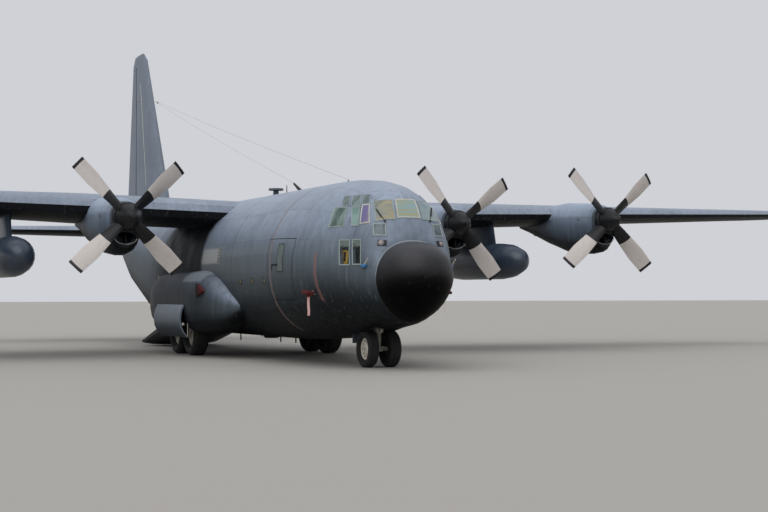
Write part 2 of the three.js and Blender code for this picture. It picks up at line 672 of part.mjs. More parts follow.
function tail() {
  const coneRoom = fuselage(tailJoint - wall, coneRoomEnd, wall);
  const cone = fuselage(tailJoint + seam, tailEnd).subtract(coneRoom);
  place("tail_cone", cone.subtract(stabFull(seam)), greyPaint);

  let tailplane = stabFull();
  for (const { name, sign } of sides) {
    const half = box(sign * 2, sign * far * 2, 0, far * 6, 0, far * 2);
    const { moving, fixed } = hinged(
      tailplane.intersect(half),
      stabHinge(sign * elevator.x0),
      stabHinge(sign * elevator.x1),
      elevator.radii,
      v3(0, 0, 1),
    );
    place(`elevator_${name}`, moving, greyPaint);
    tailplane = tailplane.subtract(half).add(fixed);
  }
  const hatch = box(-300, 300, stab.rootLead + 900, stab.rootLead + 2000, 0, stab.z);
  for (const { sign } of sides) {
    tailplane = tailplane.subtract(loft([stabRoom(0), stabRoom(sign * stab.roomEnd)]));
  }
  place("stabilizer", tailplane.subtract(hatch), greyPaint);

  const rounded = finRing(fin.top).map((p) =>
    v3(p.x * 0.4, fin.tipMiddle + (p.y - fin.tipMiddle) * 0.72, p.z));
  const upper = loft([finRing(fin.base), finRing(fin.top - fin.tipDepth), rounded]);
  const fillet = loft(filletSections.map(([chord, thick, lead, z, width]) =>
    foil(chord, thick, 0).map(([back, side]) => v3(side * width, lead + back, z))));
  const { moving, fixed } = hinged(
    joined(upper, fillet),
    finHinge(rudder.low),
    finHinge(rudder.high),
    rudder.radii,
    v3(1, 0, 0),
  );
  const body = joined(fuselage(tailJoint - 7000, tailJoint, -seam), fuselage(tailJoint - 1, tailEnd, -seam));
  place("fin", fixed.subtract(body).subtract(loft([finRoom(fin.base), finRoom(fin.roomTop)])), greyPaint);
  const below = box(-500, 500, 0, far * 6, 0, rudder.bottom);
  place("rudder", moving.subtract(body).subtract(below), greyPaint);
}

// Engine nacelles: sections from the propeller back, [distance, half width, top, bottom], from the hub.
const nacelleSections = [
  [240, 400, 420, 800],
  [520, 520, 520, 1010],
  [1100, 590, 600, 1060],
  [2300, 610, 680, 960],
  [3300, 580, 640, 700],
  [4200, 500, 560, 420],
  [5200, 400, 330, 120],
];

// The air intake under the spinner: [distance, half width, top, bottom], below the hub.
const mouthSections = [
  [180, 300, 410, 745],
  [1400, 230, 480, 740],
];
const exhaust = { radius: 170, start: 4250, end: 5300, below: 190 };
const shaftRadius = 110;

function nacelleRing(engine, [back, half, top, bottom]) {
  const count = 20;
  return Array.from({ length: count }, (_, i) => {
    const a = ((i + 0.5) / count) * 2 * Math.PI;
    const squareness = 0.86;
    const power = (v) => Math.sign(v) * Math.abs(v) ** squareness;
    const reach = Math.sin(a) > 0 ? top : bottom;
    return v3(engine.x + power(Math.cos(a)) * half, prop.y + back, engine.z + power(Math.sin(a)) * reach);
  });
}

function mouthRing(engine, [back, half, high, low]) {
  const count = 16;
  return Array.from({ length: count }, (_, i) => {
    const a = ((i + 0.5) / count) * 2 * Math.PI;
    const z = engine.z - (high + low) / 2 + Math.sin(a) * (low - high) / 2;
    return v3(engine.x + Math.cos(a) * half, prop.y + back, z);
  });
}

function nacelles() {
  const blocked = wingFull(seam);
  for (const engine of engines) {
    const body = loft(nacelleSections.map((s) => nacelleRing(engine, s)));
    const mouth = loft(mouthSections.map((s) => mouthRing(engine, s)));
    const pipe = bar(
      v3(engine.x, prop.y + exhaust.start, engine.z - exhaust.below),
      v3(engine.x, prop.y + exhaust.end, engine.z - exhaust.below),
      exhaust.radius,
    );
    const shaft = bar(
      v3(engine.x, prop.y + 100, engine.z),
      v3(engine.x, prop.y + 300, engine.z),
      shaftRadius,
      shaftRadius,
      wheelSides,
    );
    const made = joined(body.subtract(mouth).subtract(pipe), shaft);
    place(`nacelle_${engine.name}`, made.subtract(blocked), darkGreyPaint);
  }
}

// Propellers: a spinner with four square-tipped blades. Blade sections: [radius, width, thickness, pitch].
const bladeSections = [
  [250, 340, 190, 44],
  [520, 400, 180, 42],
  [900, 450, 120, 35],
  [1450, 525, 70, 26],
  [prop.radius, 470, 34, 20],
];

const bladeOutline = [ // across and deep, as shares of the width and the thickness
  [-0.5, 0], [-0.3, 0.42], [0.05, 0.5], [0.35, 0.35], [0.5, 0], [0.3, -0.35], [0, -0.5], [-0.35, -0.4],
];

function propeller(engine) {
  const spinner = turned([
    [0, prop.tip - prop.y],
    [70, prop.tip - prop.y + 30],
    [200, -400],
    [320, -180],
    [prop.spinner, 40],
    [prop.spinner, prop.back - prop.y],
    [boreRadius(shaftRadius, wheelSides), prop.back - prop.y],
    [boreRadius(shaftRadius, wheelSides), 90],
    [0, 90],
  ], "y");
  const blade = loft(bladeSections.map(([radius, width, thickness, pitch]) => {
    const lean = THREE.MathUtils.degToRad(pitch);
    return bladeOutline.map(([across, deep]) => {
      const [w, d] = [across * width, deep * thickness];
      return v3(w * Math.cos(lean) - d * Math.sin(lean), d * Math.cos(lean) + w * Math.sin(lean), radius);
    });
  }));
  const blades = [0, 90, 180, 270].map((angle) => blade.rotate([0, angle + 90 - engine.turn, 0]));
  const whole = joined(spinner, ...blades).translate([engine.x, prop.y, engine.z]);
  place(`propeller_${engine.name}`, whole, bladeWhite);
}

// External tanks under the wing, each on its pylon.
function tanks() {
  const blocked = wingFull(seam);
  for (const { name, sign } of sides) {
    const r = tank.radius;
    const l = tank.length;
    const body = turned([
      [0, 0], [0.33 * r, 70], [0.66 * r, 310], [0.9 * r, 820], [r, 1500], [r, 4100],
      [0.86 * r, 5300], [0.55 * r, 6350], [0.2 * r, 6980], [0, l],
    ], "y").translate([sign * tank.x, tank.nose, tank.z]);
    const pylon = loft([tank.z + r * 0.7, wing.midZ + 500].map((z, i) =>
      foil([3600, 3300][i], 0.085, 0).map(([back, side]) =>
        v3(sign * tank.x + side, tank.nose + [1820, 2220][i] + back, z))));
    place(`tank_${name}`, joined(body, pylon).subtract(blocked).subtract(
      box(sign * (tank.x - 400), sign * (tank.x + 400), 0, far * 4, wing.midZ + 250, far)), darkGreyPaint);
  }
}

// Main gear fairings on the fuselage's flanks: sections along y, [y, half width, half height, middle z].
const fairingSections = [
  [8300, 60, 80, 1480],
  [8450, 200, 225, 1472],
  [8600, 310, 345, 1465],
  [8750, 400, 440, 1460],
  [9050, 520, 580, 1490],
  [9350, 615, 685, 1530],
  [9700, 700, 780, 1570],
  [10050, 775, 865, 1592],
  [10400, 828, 924, 1610],
  [10800, 860, 960, 1620],
  [14400, 860, 960, 1620],
  [15050, 815, 915, 1626],
  [15400, 765, 865, 1632],
  [15700, 700, 800, 1640],
  [16050, 575, 670, 1662],
  [16400, 450, 545, 1690],
  [16700, 330, 430, 1720],
  [17100, 120, 160, 1760],
];

// The main gear doors hang open outside the fairings' skin: the door's shape, [out from x, z].
const gearDoor = { y0: 11150, y1: 14100, x: 2660, thick: 55 };
const gearDoorShape = [
  [-20, 570], [110, 720], [190, 900], [215, 1080], [200, 1260], [160, 1420], [90, 1550],
];

function fairings() {
  const count = 20;
  const body = fuselage(noseJoint, rampHinge.y + 2000, -seam);
  for (const { name, sign } of sides) {
    const rings = fairingSections.map(([y, half, high, middle]) => Array.from({ length: count }, (_, i) => {
      const a = ((i + 0.5) / count) * 2 * Math.PI;
      const power = (v) => Math.sign(v) * Math.abs(v) ** 0.7;
      return v3(sign * (1930 + power(Math.cos(a)) * half), y, middle + power(Math.sin(a)) * high);
    }));
    const made = loft(rings)
      .subtract(body)
      .subtract(wellBox(sign, 0))
      .subtract(box(sign * 1400, sign * far, paraDoor.y0 - 40, far * 4, floorTop, far));
    place(`gear_fairing_${name}`, made, greyPaint);
    const doorRing = (y) => [
      ...gearDoorShape.map(([out, z]) => v3(sign * (gearDoor.x + out), y, z)),
      ...gearDoorShape.toReversed().map(([out, z]) => v3(sign * (gearDoor.x + out + gearDoor.thick), y, z)),
    ];
    const skin = loft(rings.map((ring) => ring.map((p) => v3(p.x + sign * seam, p.y, p.z))));
    place(`gear_door_${name}`, loft([doorRing(gearDoor.y0), doorRing(gearDoor.y1)]).subtract(skin), greyPaint);
  }
}

// Wheels: a tyre on its rim, [radius, distance from the middle], with a bore for the axle.
const axleRadius = 55;
function wheel(radius, width, bore) {
  const h = width / 2;
  return turned([
    [bore, -h * 0.55], [radius * 0.36, -h * 0.5], [radius * 0.56, -h * 0.7], [radius * 0.78, -h],
    [radius * 0.93, -h * 0.86], [radius, -h * 0.5], [radius, h * 0.5], [radius * 0.93, h * 0.86],
    [radius * 0.78, h], [radius * 0.56, h * 0.7], [radius * 0.36, h * 0.5], [bore, h * 0.55],
    [bore, -h * 0.55],
  ], "x");
}
const axleZ = (radius) => radius * Math.cos(Math.PI / wheelSides);

function mainGear() {
  for (const { name, sign } of sides) {
    const z = axleZ(mainWheel.radius);
    const legX = sign * 1790;
    const stations = [
      { end: "front", y: mainWheel.y - mainWheel.pitch / 2 },
      { end: "rear", y: mainWheel.y + mainWheel.pitch / 2 },
    ];
    const legs = stations.map(({ y }) => joined(
      bar(v3(legX, y, z - 70), v3(legX, y, mainWell.top - seam), 85),
      bar(v3(legX - sign * 60, y, z), v3(sign * (mainWheel.x + mainWheel.width * 0.28), y, z), axleRadius),
    ));
    const beam = box(legX - 50, legX + 50, stations[0].y, stations[1].y, mainWell.top - 240, mainWell.top - 100);
    place(`main_leg_${name}`, joined(...legs, beam), gearMetal);
    for (const { end, y } of stations) {
      const made = wheel(mainWheel.radius, mainWheel.width, boreRadius(axleRadius, wheelSides));
      place(`main_wheel_${end}_${name}`, made.translate([sign * mainWheel.x, y, z]), tyreRubber);
    }
  }
}

function noseGear() {
  const { y, x, radius, width } = noseWheel;
  const z = axleZ(radius);
  const piston = 65;
  const legEnd = 1010;
  const rod = (low, high, r) => bar(v3(0, y, low), v3(0, y, high), r, r, pinSides);
  const leg = joined(
    rod(legEnd, noseWell.top - seam, 115),
    bar(v3(0, y, legEnd + 160), v3(0, noseWell.y1 - seam, noseWell.top - 160), 45),
  ).intersect(box(-far, far, 0, noseWell.y1 - seam, 0, far))
    .subtract(rod(0, noseWell.top - 150, boreRadius(piston, pinSides)));
  place("nose_leg", leg, gearMetal);
  const fork = joined(
    rod(z, noseWell.top - 170, piston),
    rod(legEnd - running - 90, legEnd - running, 125),
    bar(v3(-x - width * 0.28, y, z), v3(x + width * 0.28, y, z), axleRadius),
    box(-40, 40, y - 190, y, legEnd - running - 90, legEnd - running - 30),
  );
  place("nose_fork", fork, gearMetal);
  for (const { name, sign } of sides) {
    const made = wheel(radius, width, boreRadius(axleRadius, wheelSides));
    place(`nose_wheel_${name}`, made.translate([sign * x, y, z]), tyreRubber);
  }
  const door = { half: noseWell.half - 30, thick: 40, low: 600, high: 1190 };
  const hung = box(-door.half, door.half, noseWell.y1 - door.thick, noseWell.y1 - seam, door.low, door.high);
  place("nose_gear_door", hung, greyPaint);
}

radome();
nose();
glazing();
flightDeck();
wings();
centreFuselage();
rearOpening();
tail();
nacelles();
engines.forEach(propeller);
tanks();
fairings();
mainGear();
noseGear();

airframe.scale.setScalar(scale);
airframe.position.set(0, (-scale * (noseTip + tailEnd)) / 2, 0);
export default airframe;
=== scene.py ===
import json
import math

import bmesh
import bpy
from mathutils import Matrix, Vector
from mathutils.bvhtree import BVHTree


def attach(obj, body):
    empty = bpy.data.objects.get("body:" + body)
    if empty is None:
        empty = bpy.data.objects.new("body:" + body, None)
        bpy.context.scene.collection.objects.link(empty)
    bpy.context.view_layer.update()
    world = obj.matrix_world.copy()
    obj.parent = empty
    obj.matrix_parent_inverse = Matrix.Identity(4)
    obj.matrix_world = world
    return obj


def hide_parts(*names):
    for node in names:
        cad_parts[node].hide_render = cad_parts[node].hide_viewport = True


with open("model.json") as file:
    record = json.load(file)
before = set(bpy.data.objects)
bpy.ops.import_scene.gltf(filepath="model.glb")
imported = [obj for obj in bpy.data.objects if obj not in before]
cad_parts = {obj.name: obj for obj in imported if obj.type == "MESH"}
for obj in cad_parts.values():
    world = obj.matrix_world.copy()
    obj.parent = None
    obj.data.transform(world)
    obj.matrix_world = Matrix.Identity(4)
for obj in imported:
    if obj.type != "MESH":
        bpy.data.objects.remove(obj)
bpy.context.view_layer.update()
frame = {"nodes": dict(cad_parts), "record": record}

# The aircraft is a half-size model; places below are full-size millimetres, x to port, y aft, z up.
place = {"scale": 0.0005, "middle": 14695.0}


def at(x, y, z):
    return Vector((x, y - place["middle"], z)) * place["scale"]


def shift(x, y, z):
    return Vector((x, y, z)) * place["scale"]


def size(millimetres):
    return millimetres * place["scale"]


def station(y):
    return size(y - place["middle"])


def toLinear(hexText):
    values = [int(hexText[i:i + 2], 16) / 255 for i in (1, 3, 5)]
    return tuple(v / 12.92 if v <= 0.04045 else ((v + 0.055) / 1.055) ** 2.4 for v in values) + (1.0,)


# Sets a node's inputs, in order or by name, each to a value, a socket or another node's first output.
def wire(tree, made, inputs):
    for key, value in inputs.items() if isinstance(inputs, dict) else enumerate(inputs):
        if isinstance(value, bpy.types.Node):
            value = value.outputs[0]
        if isinstance(value, bpy.types.NodeSocket):
            tree.links.new(value, made.inputs[key])
        else:
            made.inputs[key].default_value = value


def node(tree, kind, inputs=(), **settings):
    made = tree.nodes.new("ShaderNode" + kind)
    for key, value in settings.items():
        setattr(made, key, value)
    wire(tree, made, inputs)
    return made


def newMaterial(name):
    material = bpy.data.materials.new(name)
    material.use_nodes = True
    tree = material.node_tree
    tree.nodes.clear()
    shader = node(tree, "BsdfPrincipled")
    node(tree, "OutputMaterial", {"Surface": shader})
    return material, tree, shader


# Settings that many nodes share.
times, minus, timesPlus, most = [
    {"operation": word} for word in ("MULTIPLY", "SUBTRACT", "MULTIPLY_ADD", "MAXIMUM")]
clouds = {"Roughness": 0.6}
shine = "Specular IOR Level"


# The product of masks. Each is a number, a node, or a span of a source: the source, where the mask starts
# and where it is full, and how strong it is at both.
def maskOf(tree, *parts):
    mask = None
    for part in parts:
        if isinstance(part, tuple):
            part = node(tree, "MapRange", part, interpolation_type="SMOOTHSTEP")
        mask = part if mask is None else node(tree, "Math", (mask, part), **times)
    return mask


# Lays a colour over what is there, as strongly as the masks say together.
def layer(tree, base, colour, *masks):
    inputs = {0: maskOf(tree, *masks), 6: base, 7: toLinear(colour)}
    return node(tree, "Mix", inputs, data_type="RGBA").outputs[2]


# Roughness that the grain varies and wet streaks lower, and a bump of the given height.
def surface(tree, shader, grain, spread, roughness, strength, height, wet=0.0):
    rough = node(tree, "Math", (grain, spread, roughness), **timesPlus)
    wire(tree, shader, {"Roughness": node(tree, "Math", (rough, wet), **minus),
        "Normal": node(tree, "Bump", {"Strength": strength, "Distance": 1.0, "Height": height})})


view = {"lens": 69.48, "spot": (-7.5345, -23.312, 0.9405), "yaw": 23.599, "pitch": 1.457, "reach": 500}


def newObject(name, data):
    made = bpy.data.objects.new(name, data)
    bpy.context.scene.collection.objects.link(made)
    return made


def addCamera():
    camera = newObject("camera", bpy.data.cameras.new("camera"))
    camera.data.lens = view["lens"]
    camera.data.clip_end = view["reach"]
    yaw, pitch = math.radians(view["yaw"]), math.radians(view["pitch"])
    forward = Vector((math.sin(yaw) * math.cos(pitch), math.cos(yaw) * math.cos(pitch), math.sin(pitch)))
    camera.location = view["spot"]
    camera.rotation_euler = forward.to_track_quat("-Z", "Y").to_euler()
    bpy.context.scene.camera = camera


studio = {
    "sky": "#cfd1d6", "skyStrength": 1.0,
    "sun": 1.5, "sunAngle": 70, "sunTurn": (38, -6, -28),
    "floor": "#a6a29b", "floorRough": 0.9, "floorSize": 150,
}


def addStudio():
    world = bpy.data.worlds.new("studio")
    world.use_nodes = True
    sky = (toLinear(studio["sky"]), studio["skyStrength"])
    wire(world.node_tree, world.node_tree.nodes["Background"], sky)
    bpy.context.scene.world = world
    sun = newObject("softbox", bpy.data.lights.new("softbox", "SUN"))
    sun.data.energy = studio["sun"]
    sun.data.angle = math.radians(studio["sunAngle"])
    sun.rotation_euler = [math.radians(v) for v in studio["sunTurn"]]
    bm = bmesh.new()
    bmesh.ops.create_grid(bm, x_segments=1, y_segments=1, size=studio["floorSize"])
    floor = newObject("floor", bpy.data.meshes.new("floor"))
    bm.to_mesh(floor.data)
    bm.free()
    material, tree, shader = newMaterial("concreteFloor")
    wire(tree, shader, {"Base Color": toLinear(studio["floor"]), "Roughness": studio["floorRough"]})
    floor.data.materials.append(material)
    bpy.context.scene.view_settings.view_transform = "Standard"


addCamera()
addStudio()
print("camera, light and floor are in place")

# Tone of the paint against how far a surface faces up: painted light pales the crown, and painted shade
# together with some oil and soot darkens the belly.
paintLightShadeAndGrime = {
    "body": [(-1.0, "#080807"), (-0.55, "#202427"), (-0.15, "#414a50"), (0.1, "#5c6770"), (0.42, "#838fa0"),
        (0.95, "#a0abbb")],
    "wing": [(-1.0, "#171819"), (-0.35, "#232528"), (-0.02, "#535b66"), (0.25, "#7f8896"), (0.95, "#929cab")],
    "pod": [(-1.0, "#151618"), (-0.45, "#2b3036"), (-0.05, "#657281"), (0.3, "#95a3b5"), (0.95, "#9dabbd")],
    "door": [(-1.0, "#1b1d1f"), (-0.3, "#4a5159"), (0.1, "#727c88"), (0.5, "#94a0ae"), (0.95, "#a0abbb")],
    "fin": [(-1.0, "#646c78"), (0.0, "#6f7885"), (1.0, "#828b98")],
}
# Painted rings, sealed joints and highlights of the body: station, width, lowest and highest place, colour,
# strength.
bodyBandsAndHighlights = [
    (5210, 95, 900, 4700, "#7d6a66", 0.75),
    (2740, 110, 1700, 2900, "#83605c", 0.65),
    (8560, 34, 600, 4300, "#26282b", 0.9),
    (1560, 20, 500, 4300, "#3a3f45", 0.5),
    (812, 10, 2300, 3400, "#a3a9ac", 0.7),
    (17100, 34, 600, 4300, "#26282b", 0.7),
    # A pale patch of painted highlight where the side shines.
    (10620, 1560, 2770, 3210, "#9fa1a1", 0.85),
    # A long pale band of painted sheen along the middle of the side.
    (7500, 4600, 2960, 3160, "#7d8184", 0.3),
]
# Painted highlight on the shoulder of a gear fairing, where it shines.
fairingHighlight = [(10900, 1500, 2240, 2600, "#8d969d", 0.6)]
# Painted shade under the wing, where the wing keeps the sky off: where it starts, is full, begins to fade and
# ends, its top, colour, strength.
bodyWingShade = (11250, 11650, 15200, 17600, 4450, "#0a0b0c", 0.93)
fairingWingShade = (8000, 10200, 18000, 19000, 4200, "#12161b", 0.74)
# How the camouflage paint wears. Scales are per metre of the model, and widths in metres of it.
age = {
    "axisHeight": 1.33, "jointWidth": 0.0042, "jointDark": 0.42, "sheetDark": 0.16, "sheetShift": 50.0,
    "streaks": (16.0, 16.0, 0.8), "patches": 1.3, "grit": 70.0, "dents": 3.2,
    "bleach": "#a7afb8", "roughness": 0.42, "dentDepth": 0.02, "jointDepth": 0.0022, "gritDepth": 0.0004,
    "shine": 0.28, "shineLost": 0.27, "shineBaked": 0.2, "bandFeather": 0.02,
}
# A nacelle's black chin, a ring of painted shadow behind the spinner and the soot behind the exhaust.
pod = {
    "chinEnd": 8990, "chinFeather": 60, "levelFeather": 40, "chin": "#151517",
    "ring": (8925, 8905), "ringShadowColour": "#2d3136", "ringShadowStrength": 0.75,
    "soot": (11900, 13200), "sootTop": (120, -160), "sootColour": "#1d1c1b",
}


# The colour for how far a surface faces up, from [facing, colour] stops: painted light and shade by facing.
def facingShadeRamp(tree, facing, stops):
    made = node(tree, "ValToRGB", (node(tree, "Math", (facing, 0.5, 0.5), **timesPlus),))
    band = made.color_ramp
    while len(band.elements) < len(stops):
        band.elements.new(0.5)
    for element, (level, colour) in zip(band.elements, stops):
        element.position = level / 2 + 0.5
        element.color = toLinear(colour)
    return made


# Matt polyurethane camouflage paint on aluminium skin: dull, streaked by rain, with faint sheet joints.
# Painted light and shade make it paler on top and darker underneath.
def paint(name, lightAndShadeTones, grime, frames=0.26, rows=0.42, kind="round", bump=0.25, dirt=0.55, bandsAndHighlights=(),
        wingShade=None, chin=None):
    material, tree, shader = newMaterial(name)
    where = node(tree, "TexCoord").outputs
    x, y, z = node(tree, "SeparateXYZ", (where["Object"],)).outputs
    facing = node(tree, "SeparateXYZ", (where["Normal"],)).outputs[2]
    # Sheet joints: rings or ribs across, and rows along.
    across, along = y, z
    if kind == "round":
        above = node(tree, "Math", (z, age["axisHeight"]), **minus)
        along = node(tree, "Math", (x, above), operation="ARCTAN2")
    if kind == "wing":
        across, along = x, y
    lines, cells = [], []
    for source, step in ((across, frames), (along, rows)):
        saw = node(tree, "Math", (source, step / 2), operation="PINGPONG")
        lines.append(maskOf(tree, (saw, 0.0, age["jointWidth"], 1.0, 0.0)))
        count = node(tree, "Math", (source, age["sheetShift"]), operation="ADD")
        count = node(tree, "Math", (count, step), operation="DIVIDE")
        cells.append(node(tree, "Math", (count,), operation="FLOOR"))
    joint = node(tree, "Math", lines, **most)
    # Sheets differ a little in tone from their neighbours.
    sheet = node(tree, "TexWhiteNoise", {"Vector": node(tree, "CombineXYZ", cells)})
    # Rain streaks run down, a few centimetres wide.
    stretched = node(tree, "Mapping", {"Vector": where["Object"], "Scale": age["streaks"]})
    streaks = node(tree, "TexNoise", {"Vector": stretched, "Scale": 1.0, "Detail": 6.0, **clouds})
    patches, fine, dents = [
        node(tree, "TexNoise", {"Vector": where["Object"], "Scale": scale, "Detail": detail, **clouds})
        for scale, detail in ((age["patches"], 5.0), (age["grit"], 5.0), (age["dents"], 2.0))]
    # Painted light on top and painted shade underneath, by facing.
    base = facingShadeRamp(tree, facing, paintLightShadeAndGrime[lightAndShadeTones])
    for source, low, high, share, colour in (
            (streaks, 0.45, 0.72, 0.5, grime), (streaks, 0.44, 0.3, 0.22, age["bleach"]),
            (patches, 0.52, 0.75, 0.3, grime)):
        base = layer(tree, base, colour, (source, low, high), dirt * share)
    base = layer(tree, base, grime, sheet, age["sheetDark"])
    base = layer(tree, base, grime, joint, age["jointDark"])
    # The shine is lower underneath, and lower still under the painted shade of the wing.
    matt = maskOf(tree, (facing, 0.05, -0.45, 0.0, 0.85))
    # Painted shade under the wing darkens the colour and takes the shine off.
    if wingShade:
        start, full, fade, end, top, colour, strength = wingShade
        mask = maskOf(tree, (y, station(start), station(full), 0.0, strength),
            (y, station(fade), station(end), 1.0, 0.3), (z, size(top) + 0.12, size(top) - 0.25),
            (patches, 0.3, 0.55, 0.75, 1.0))
        base = layer(tree, base, colour, mask)
        matt = node(tree, "Math", (matt, mask), **most)
    feather = age["bandFeather"]
    # Rings, joints and painted highlights, each within its station and heights.
    for middle, width, low, high, colour, strength in bandsAndHighlights:
        away = node(tree, "Math", (y, station(middle)), **minus)
        away = node(tree, "Math", (away,), operation="ABSOLUTE")
        base = layer(tree, base, colour, (away, size(width * 0.62), size(width * 0.42)),
            (z, size(low) - feather, size(low) + feather), (z, size(high) + feather, size(high) - feather),
            (patches, 0.3, 0.5, strength * 0.6, strength))
    if chin:
        level, hub = chin
        above, below = pod["sootTop"]
        edge, feather, blur = pod["chinEnd"], pod["chinFeather"], pod["levelFeather"]
        base = layer(tree, base, pod["chin"], (y, station(edge + feather), station(edge - feather)),
            (z, size(level + blur), size(level - blur)))
        # Painted shadow of the spinner: a dark ring on the cowling just behind it.
        base = layer(tree, base, pod["ringShadowColour"], (y, *map(station, pod["ring"])), pod["ringShadowStrength"])
        base = layer(tree, base, pod["sootColour"], (y, *map(station, pod["soot"])),
            (z, size(hub + above), size(hub + below)), (patches, 0.35, 0.6, 0.6, 0.95))
    # Slight dents between the frames, and the joints as fine grooves. Wet streaks are a little smoother.
    height = node(tree, "Math",
        (maskOf(tree, dents, age["dentDepth"]), maskOf(tree, joint, age["jointDepth"])), **minus)
    height = node(tree, "Math", (fine, age["gritDepth"], height), **timesPlus)
    wet = maskOf(tree, (streaks, 0.45, 0.7), 0.08)
    surface(tree, shader, fine, 0.16, age["roughness"], bump, height, wet)
    wire(tree, shader, {"Base Color": base, shine: age["shineBaked"]})
    wire(tree, shader, {shine: node(tree, "Math", (matt, -age["shineLost"], age["shine"]), **timesPlus)})
    return material


# A plain worn finish: one colour with cloudy wear, fine grain and a matching bump.
def plain(name, colour, worn, roughness, metallic=0.0, grain=40.0, depth=0.0006, wear=0.5, coat=0.0):
    material, tree, shader = newMaterial(name)
    where = node(tree, "TexCoord").outputs["Object"]
    cloud, fine = [node(tree, "TexNoise", {"Vector": where, "Scale": scale, "Detail": detail, **clouds})
        for scale, detail in ((5.0, 6.0), (grain, 4.0))]
    surface(tree, shader, fine, 0.2, roughness - 0.1, 0.5, maskOf(tree, fine, depth))
    wire(tree, shader, {"Base Color": layer(tree, toLinear(colour), worn, (cloud, 0.42, 0.7), wear),
        "Metallic": metallic, "Coat Weight": coat})
    return material


# Rain-erosion rubber on the radome: satin black with a few scuffs; painted light greys it where it faces up,
# and painted shade blackens it underneath.
rubberCoat = {
    "lightAndShadeTones": [(-0.7, "#050505"), (-0.1, "#0a0a0b"), (0.45, "#262629"), (0.95, "#454549")],
    "scuff": "#3a3733", "scuffs": 9.0, "grain": 110.0, "roughness": 0.33, "depth": 0.0004,
    "shineBaked": 0.2,
}


def radomeCoat(name):
    material, tree, shader = newMaterial(name)
    where = node(tree, "TexCoord").outputs
    facing = node(tree, "SeparateXYZ", (where["Normal"],)).outputs[2]
    scuff, fine = [
        node(tree, "TexNoise", {"Vector": where["Object"], "Scale": scale, "Detail": detail, **clouds})
        for scale, detail in ((rubberCoat["scuffs"], 6.0), (rubberCoat["grain"], 4.0))]
    surface(tree, shader, scuff, 0.2, rubberCoat["roughness"], 0.3, maskOf(tree, fine, rubberCoat["depth"]))
    # Painted light on top, painted shade underneath.
    tone = facingShadeRamp(tree, facing, rubberCoat["lightAndShadeTones"])
    base = layer(tree, tone, rubberCoat["scuff"], (scuff, 0.58, 0.72, 0.0, 0.35))
    wire(tree, shader, {"Base Color": base, shine: rubberCoat["shineBaked"]})
    wire(tree, shader, {shine: maskOf(tree, (facing, -0.4, 0.3, 0.03, 0.3))})
    return material


greyFairing = paint("mattFairingPaint", "body", "#2b3036", dirt=0.7, bandsAndHighlights=fairingHighlight, wingShade=fairingWingShade)
greyDoor = paint("mattGearDoorPaint", "door", "#33373c", dirt=0.4)
greyBody = paint("mattBodyPaint", "body", "#33373c", bandsAndHighlights=bodyBandsAndHighlights, wingShade=bodyWingShade)
greyWing = paint("mattWingPaint", "wing", "#31363d", kind="wing", frames=0.62, rows=0.5)
greyFin = paint("mattFinPaint", "fin", "#454c55", kind="side", frames=0.55, rows=0.6, bump=0.15)
podInner, podOuter = [
    paint(f"matt{where}NacellePaint", "pod", "#20242a", kind="side", frames=0.33, rows=0.31, dirt=0.45,
        chin=chin)
    for where, chin in (("Inner", (3590, 4020)), ("Outer", (3800, 4230)))]
tankPaint = plain("satinTankPaint", "#303a48", "#434d5a", 0.34, grain=30.0, wear=0.6)
floorPaint = plain("darkFloorPaint", "#26282a", "#3b3d3e", 0.75)
radomeBlack = radomeCoat("rubberRadomeCoat")
gearEnamel = plain("paleGearEnamel", "#a3a197", "#615b50", 0.45)
rimEnamel = plain("creamRimEnamel", "#c9c3b6", "#8b8273", 0.42, wear=0.4)
steel = plain("brushedSteel", "#9b9c9c", "#6b665f", 0.3, metallic=1.0)
soot = plain("sootedSteel", "#3a3633", "#1f1c1a", 0.55, metallic=0.8)
tyreRubber = plain("blackTyreRubber", "#131315", "#2a2723", 0.82, grain=120.0)
cabinPaint = plain("darkCabinPaint", "#232628", "#34373a", 0.7)
blackRubber = plain("blackSealRubber", "#101113", "#232325", 0.6)
frameEnamel = plain("paleWindowFrameEnamel", "#8e9a98", "#6e7875", 0.45)
creamEnamel = plain("creamSealantBead", "#bdbcb0", "#9a978a", 0.5)
sillPaint = plain("greySillPaint", "#85909b", "#77828c", 0.5)
coverRed = plain("redCoverPlastic", "#5a1719", "#38110f", 0.85, grain=260.0, depth=0.0012)
streamerCloth = plain("fadedStreamerCloth", "#c98b8b", "#d9c8c4", 0.9, grain=300.0, depth=0.001)
probeBlue = plain("bluePlasticCap", "#2f6f9f", "#24587f", 0.4)
lampRose = plain("frostedLampGlass", "#a8908a", "#7d6a66", 0.22)
caseYellow = plain("yellowCasePlastic", "#f4c22c", "#c99a25", 0.45)
redLens = plain("redLensGlass", "#7b1216", "#5a0d10", 0.15, grain=20.0, coat=1.0)
greenLens = plain("greenLensGlass", "#125a35", "#0d4428", 0.15, grain=20.0, coat=1.0)
print("materials are made")

bodyOf = {n: body for body, nodes in frame["record"]["behaviour"]["bodies"].items() for n in nodes}
sides = {"port": 1, "starboard": -1}


def finishPiece(name, bm, materials, body="airframe", replaces=(), smoothTo=35):
    limit = math.radians(smoothTo)
    for face in bm.faces:
        face.smooth = True
    for edge in bm.edges:
        edge.smooth = len(edge.link_faces) == 2 and edge.calc_face_angle(0.0) < limit
    piece = newObject(name, bpy.data.meshes.new(name))
    bm.to_mesh(piece.data)
    bm.free()
    for material in materials:
        piece.data.materials.append(material)
    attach(piece, body)
    if replaces:
        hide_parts(*replaces)
    return piece


def faceOut(bm):
    bmesh.ops.recalc_face_normals(bm, faces=bm.faces)


def setMaterial(faces, material):
    for face in faces:
        face.material_index = material


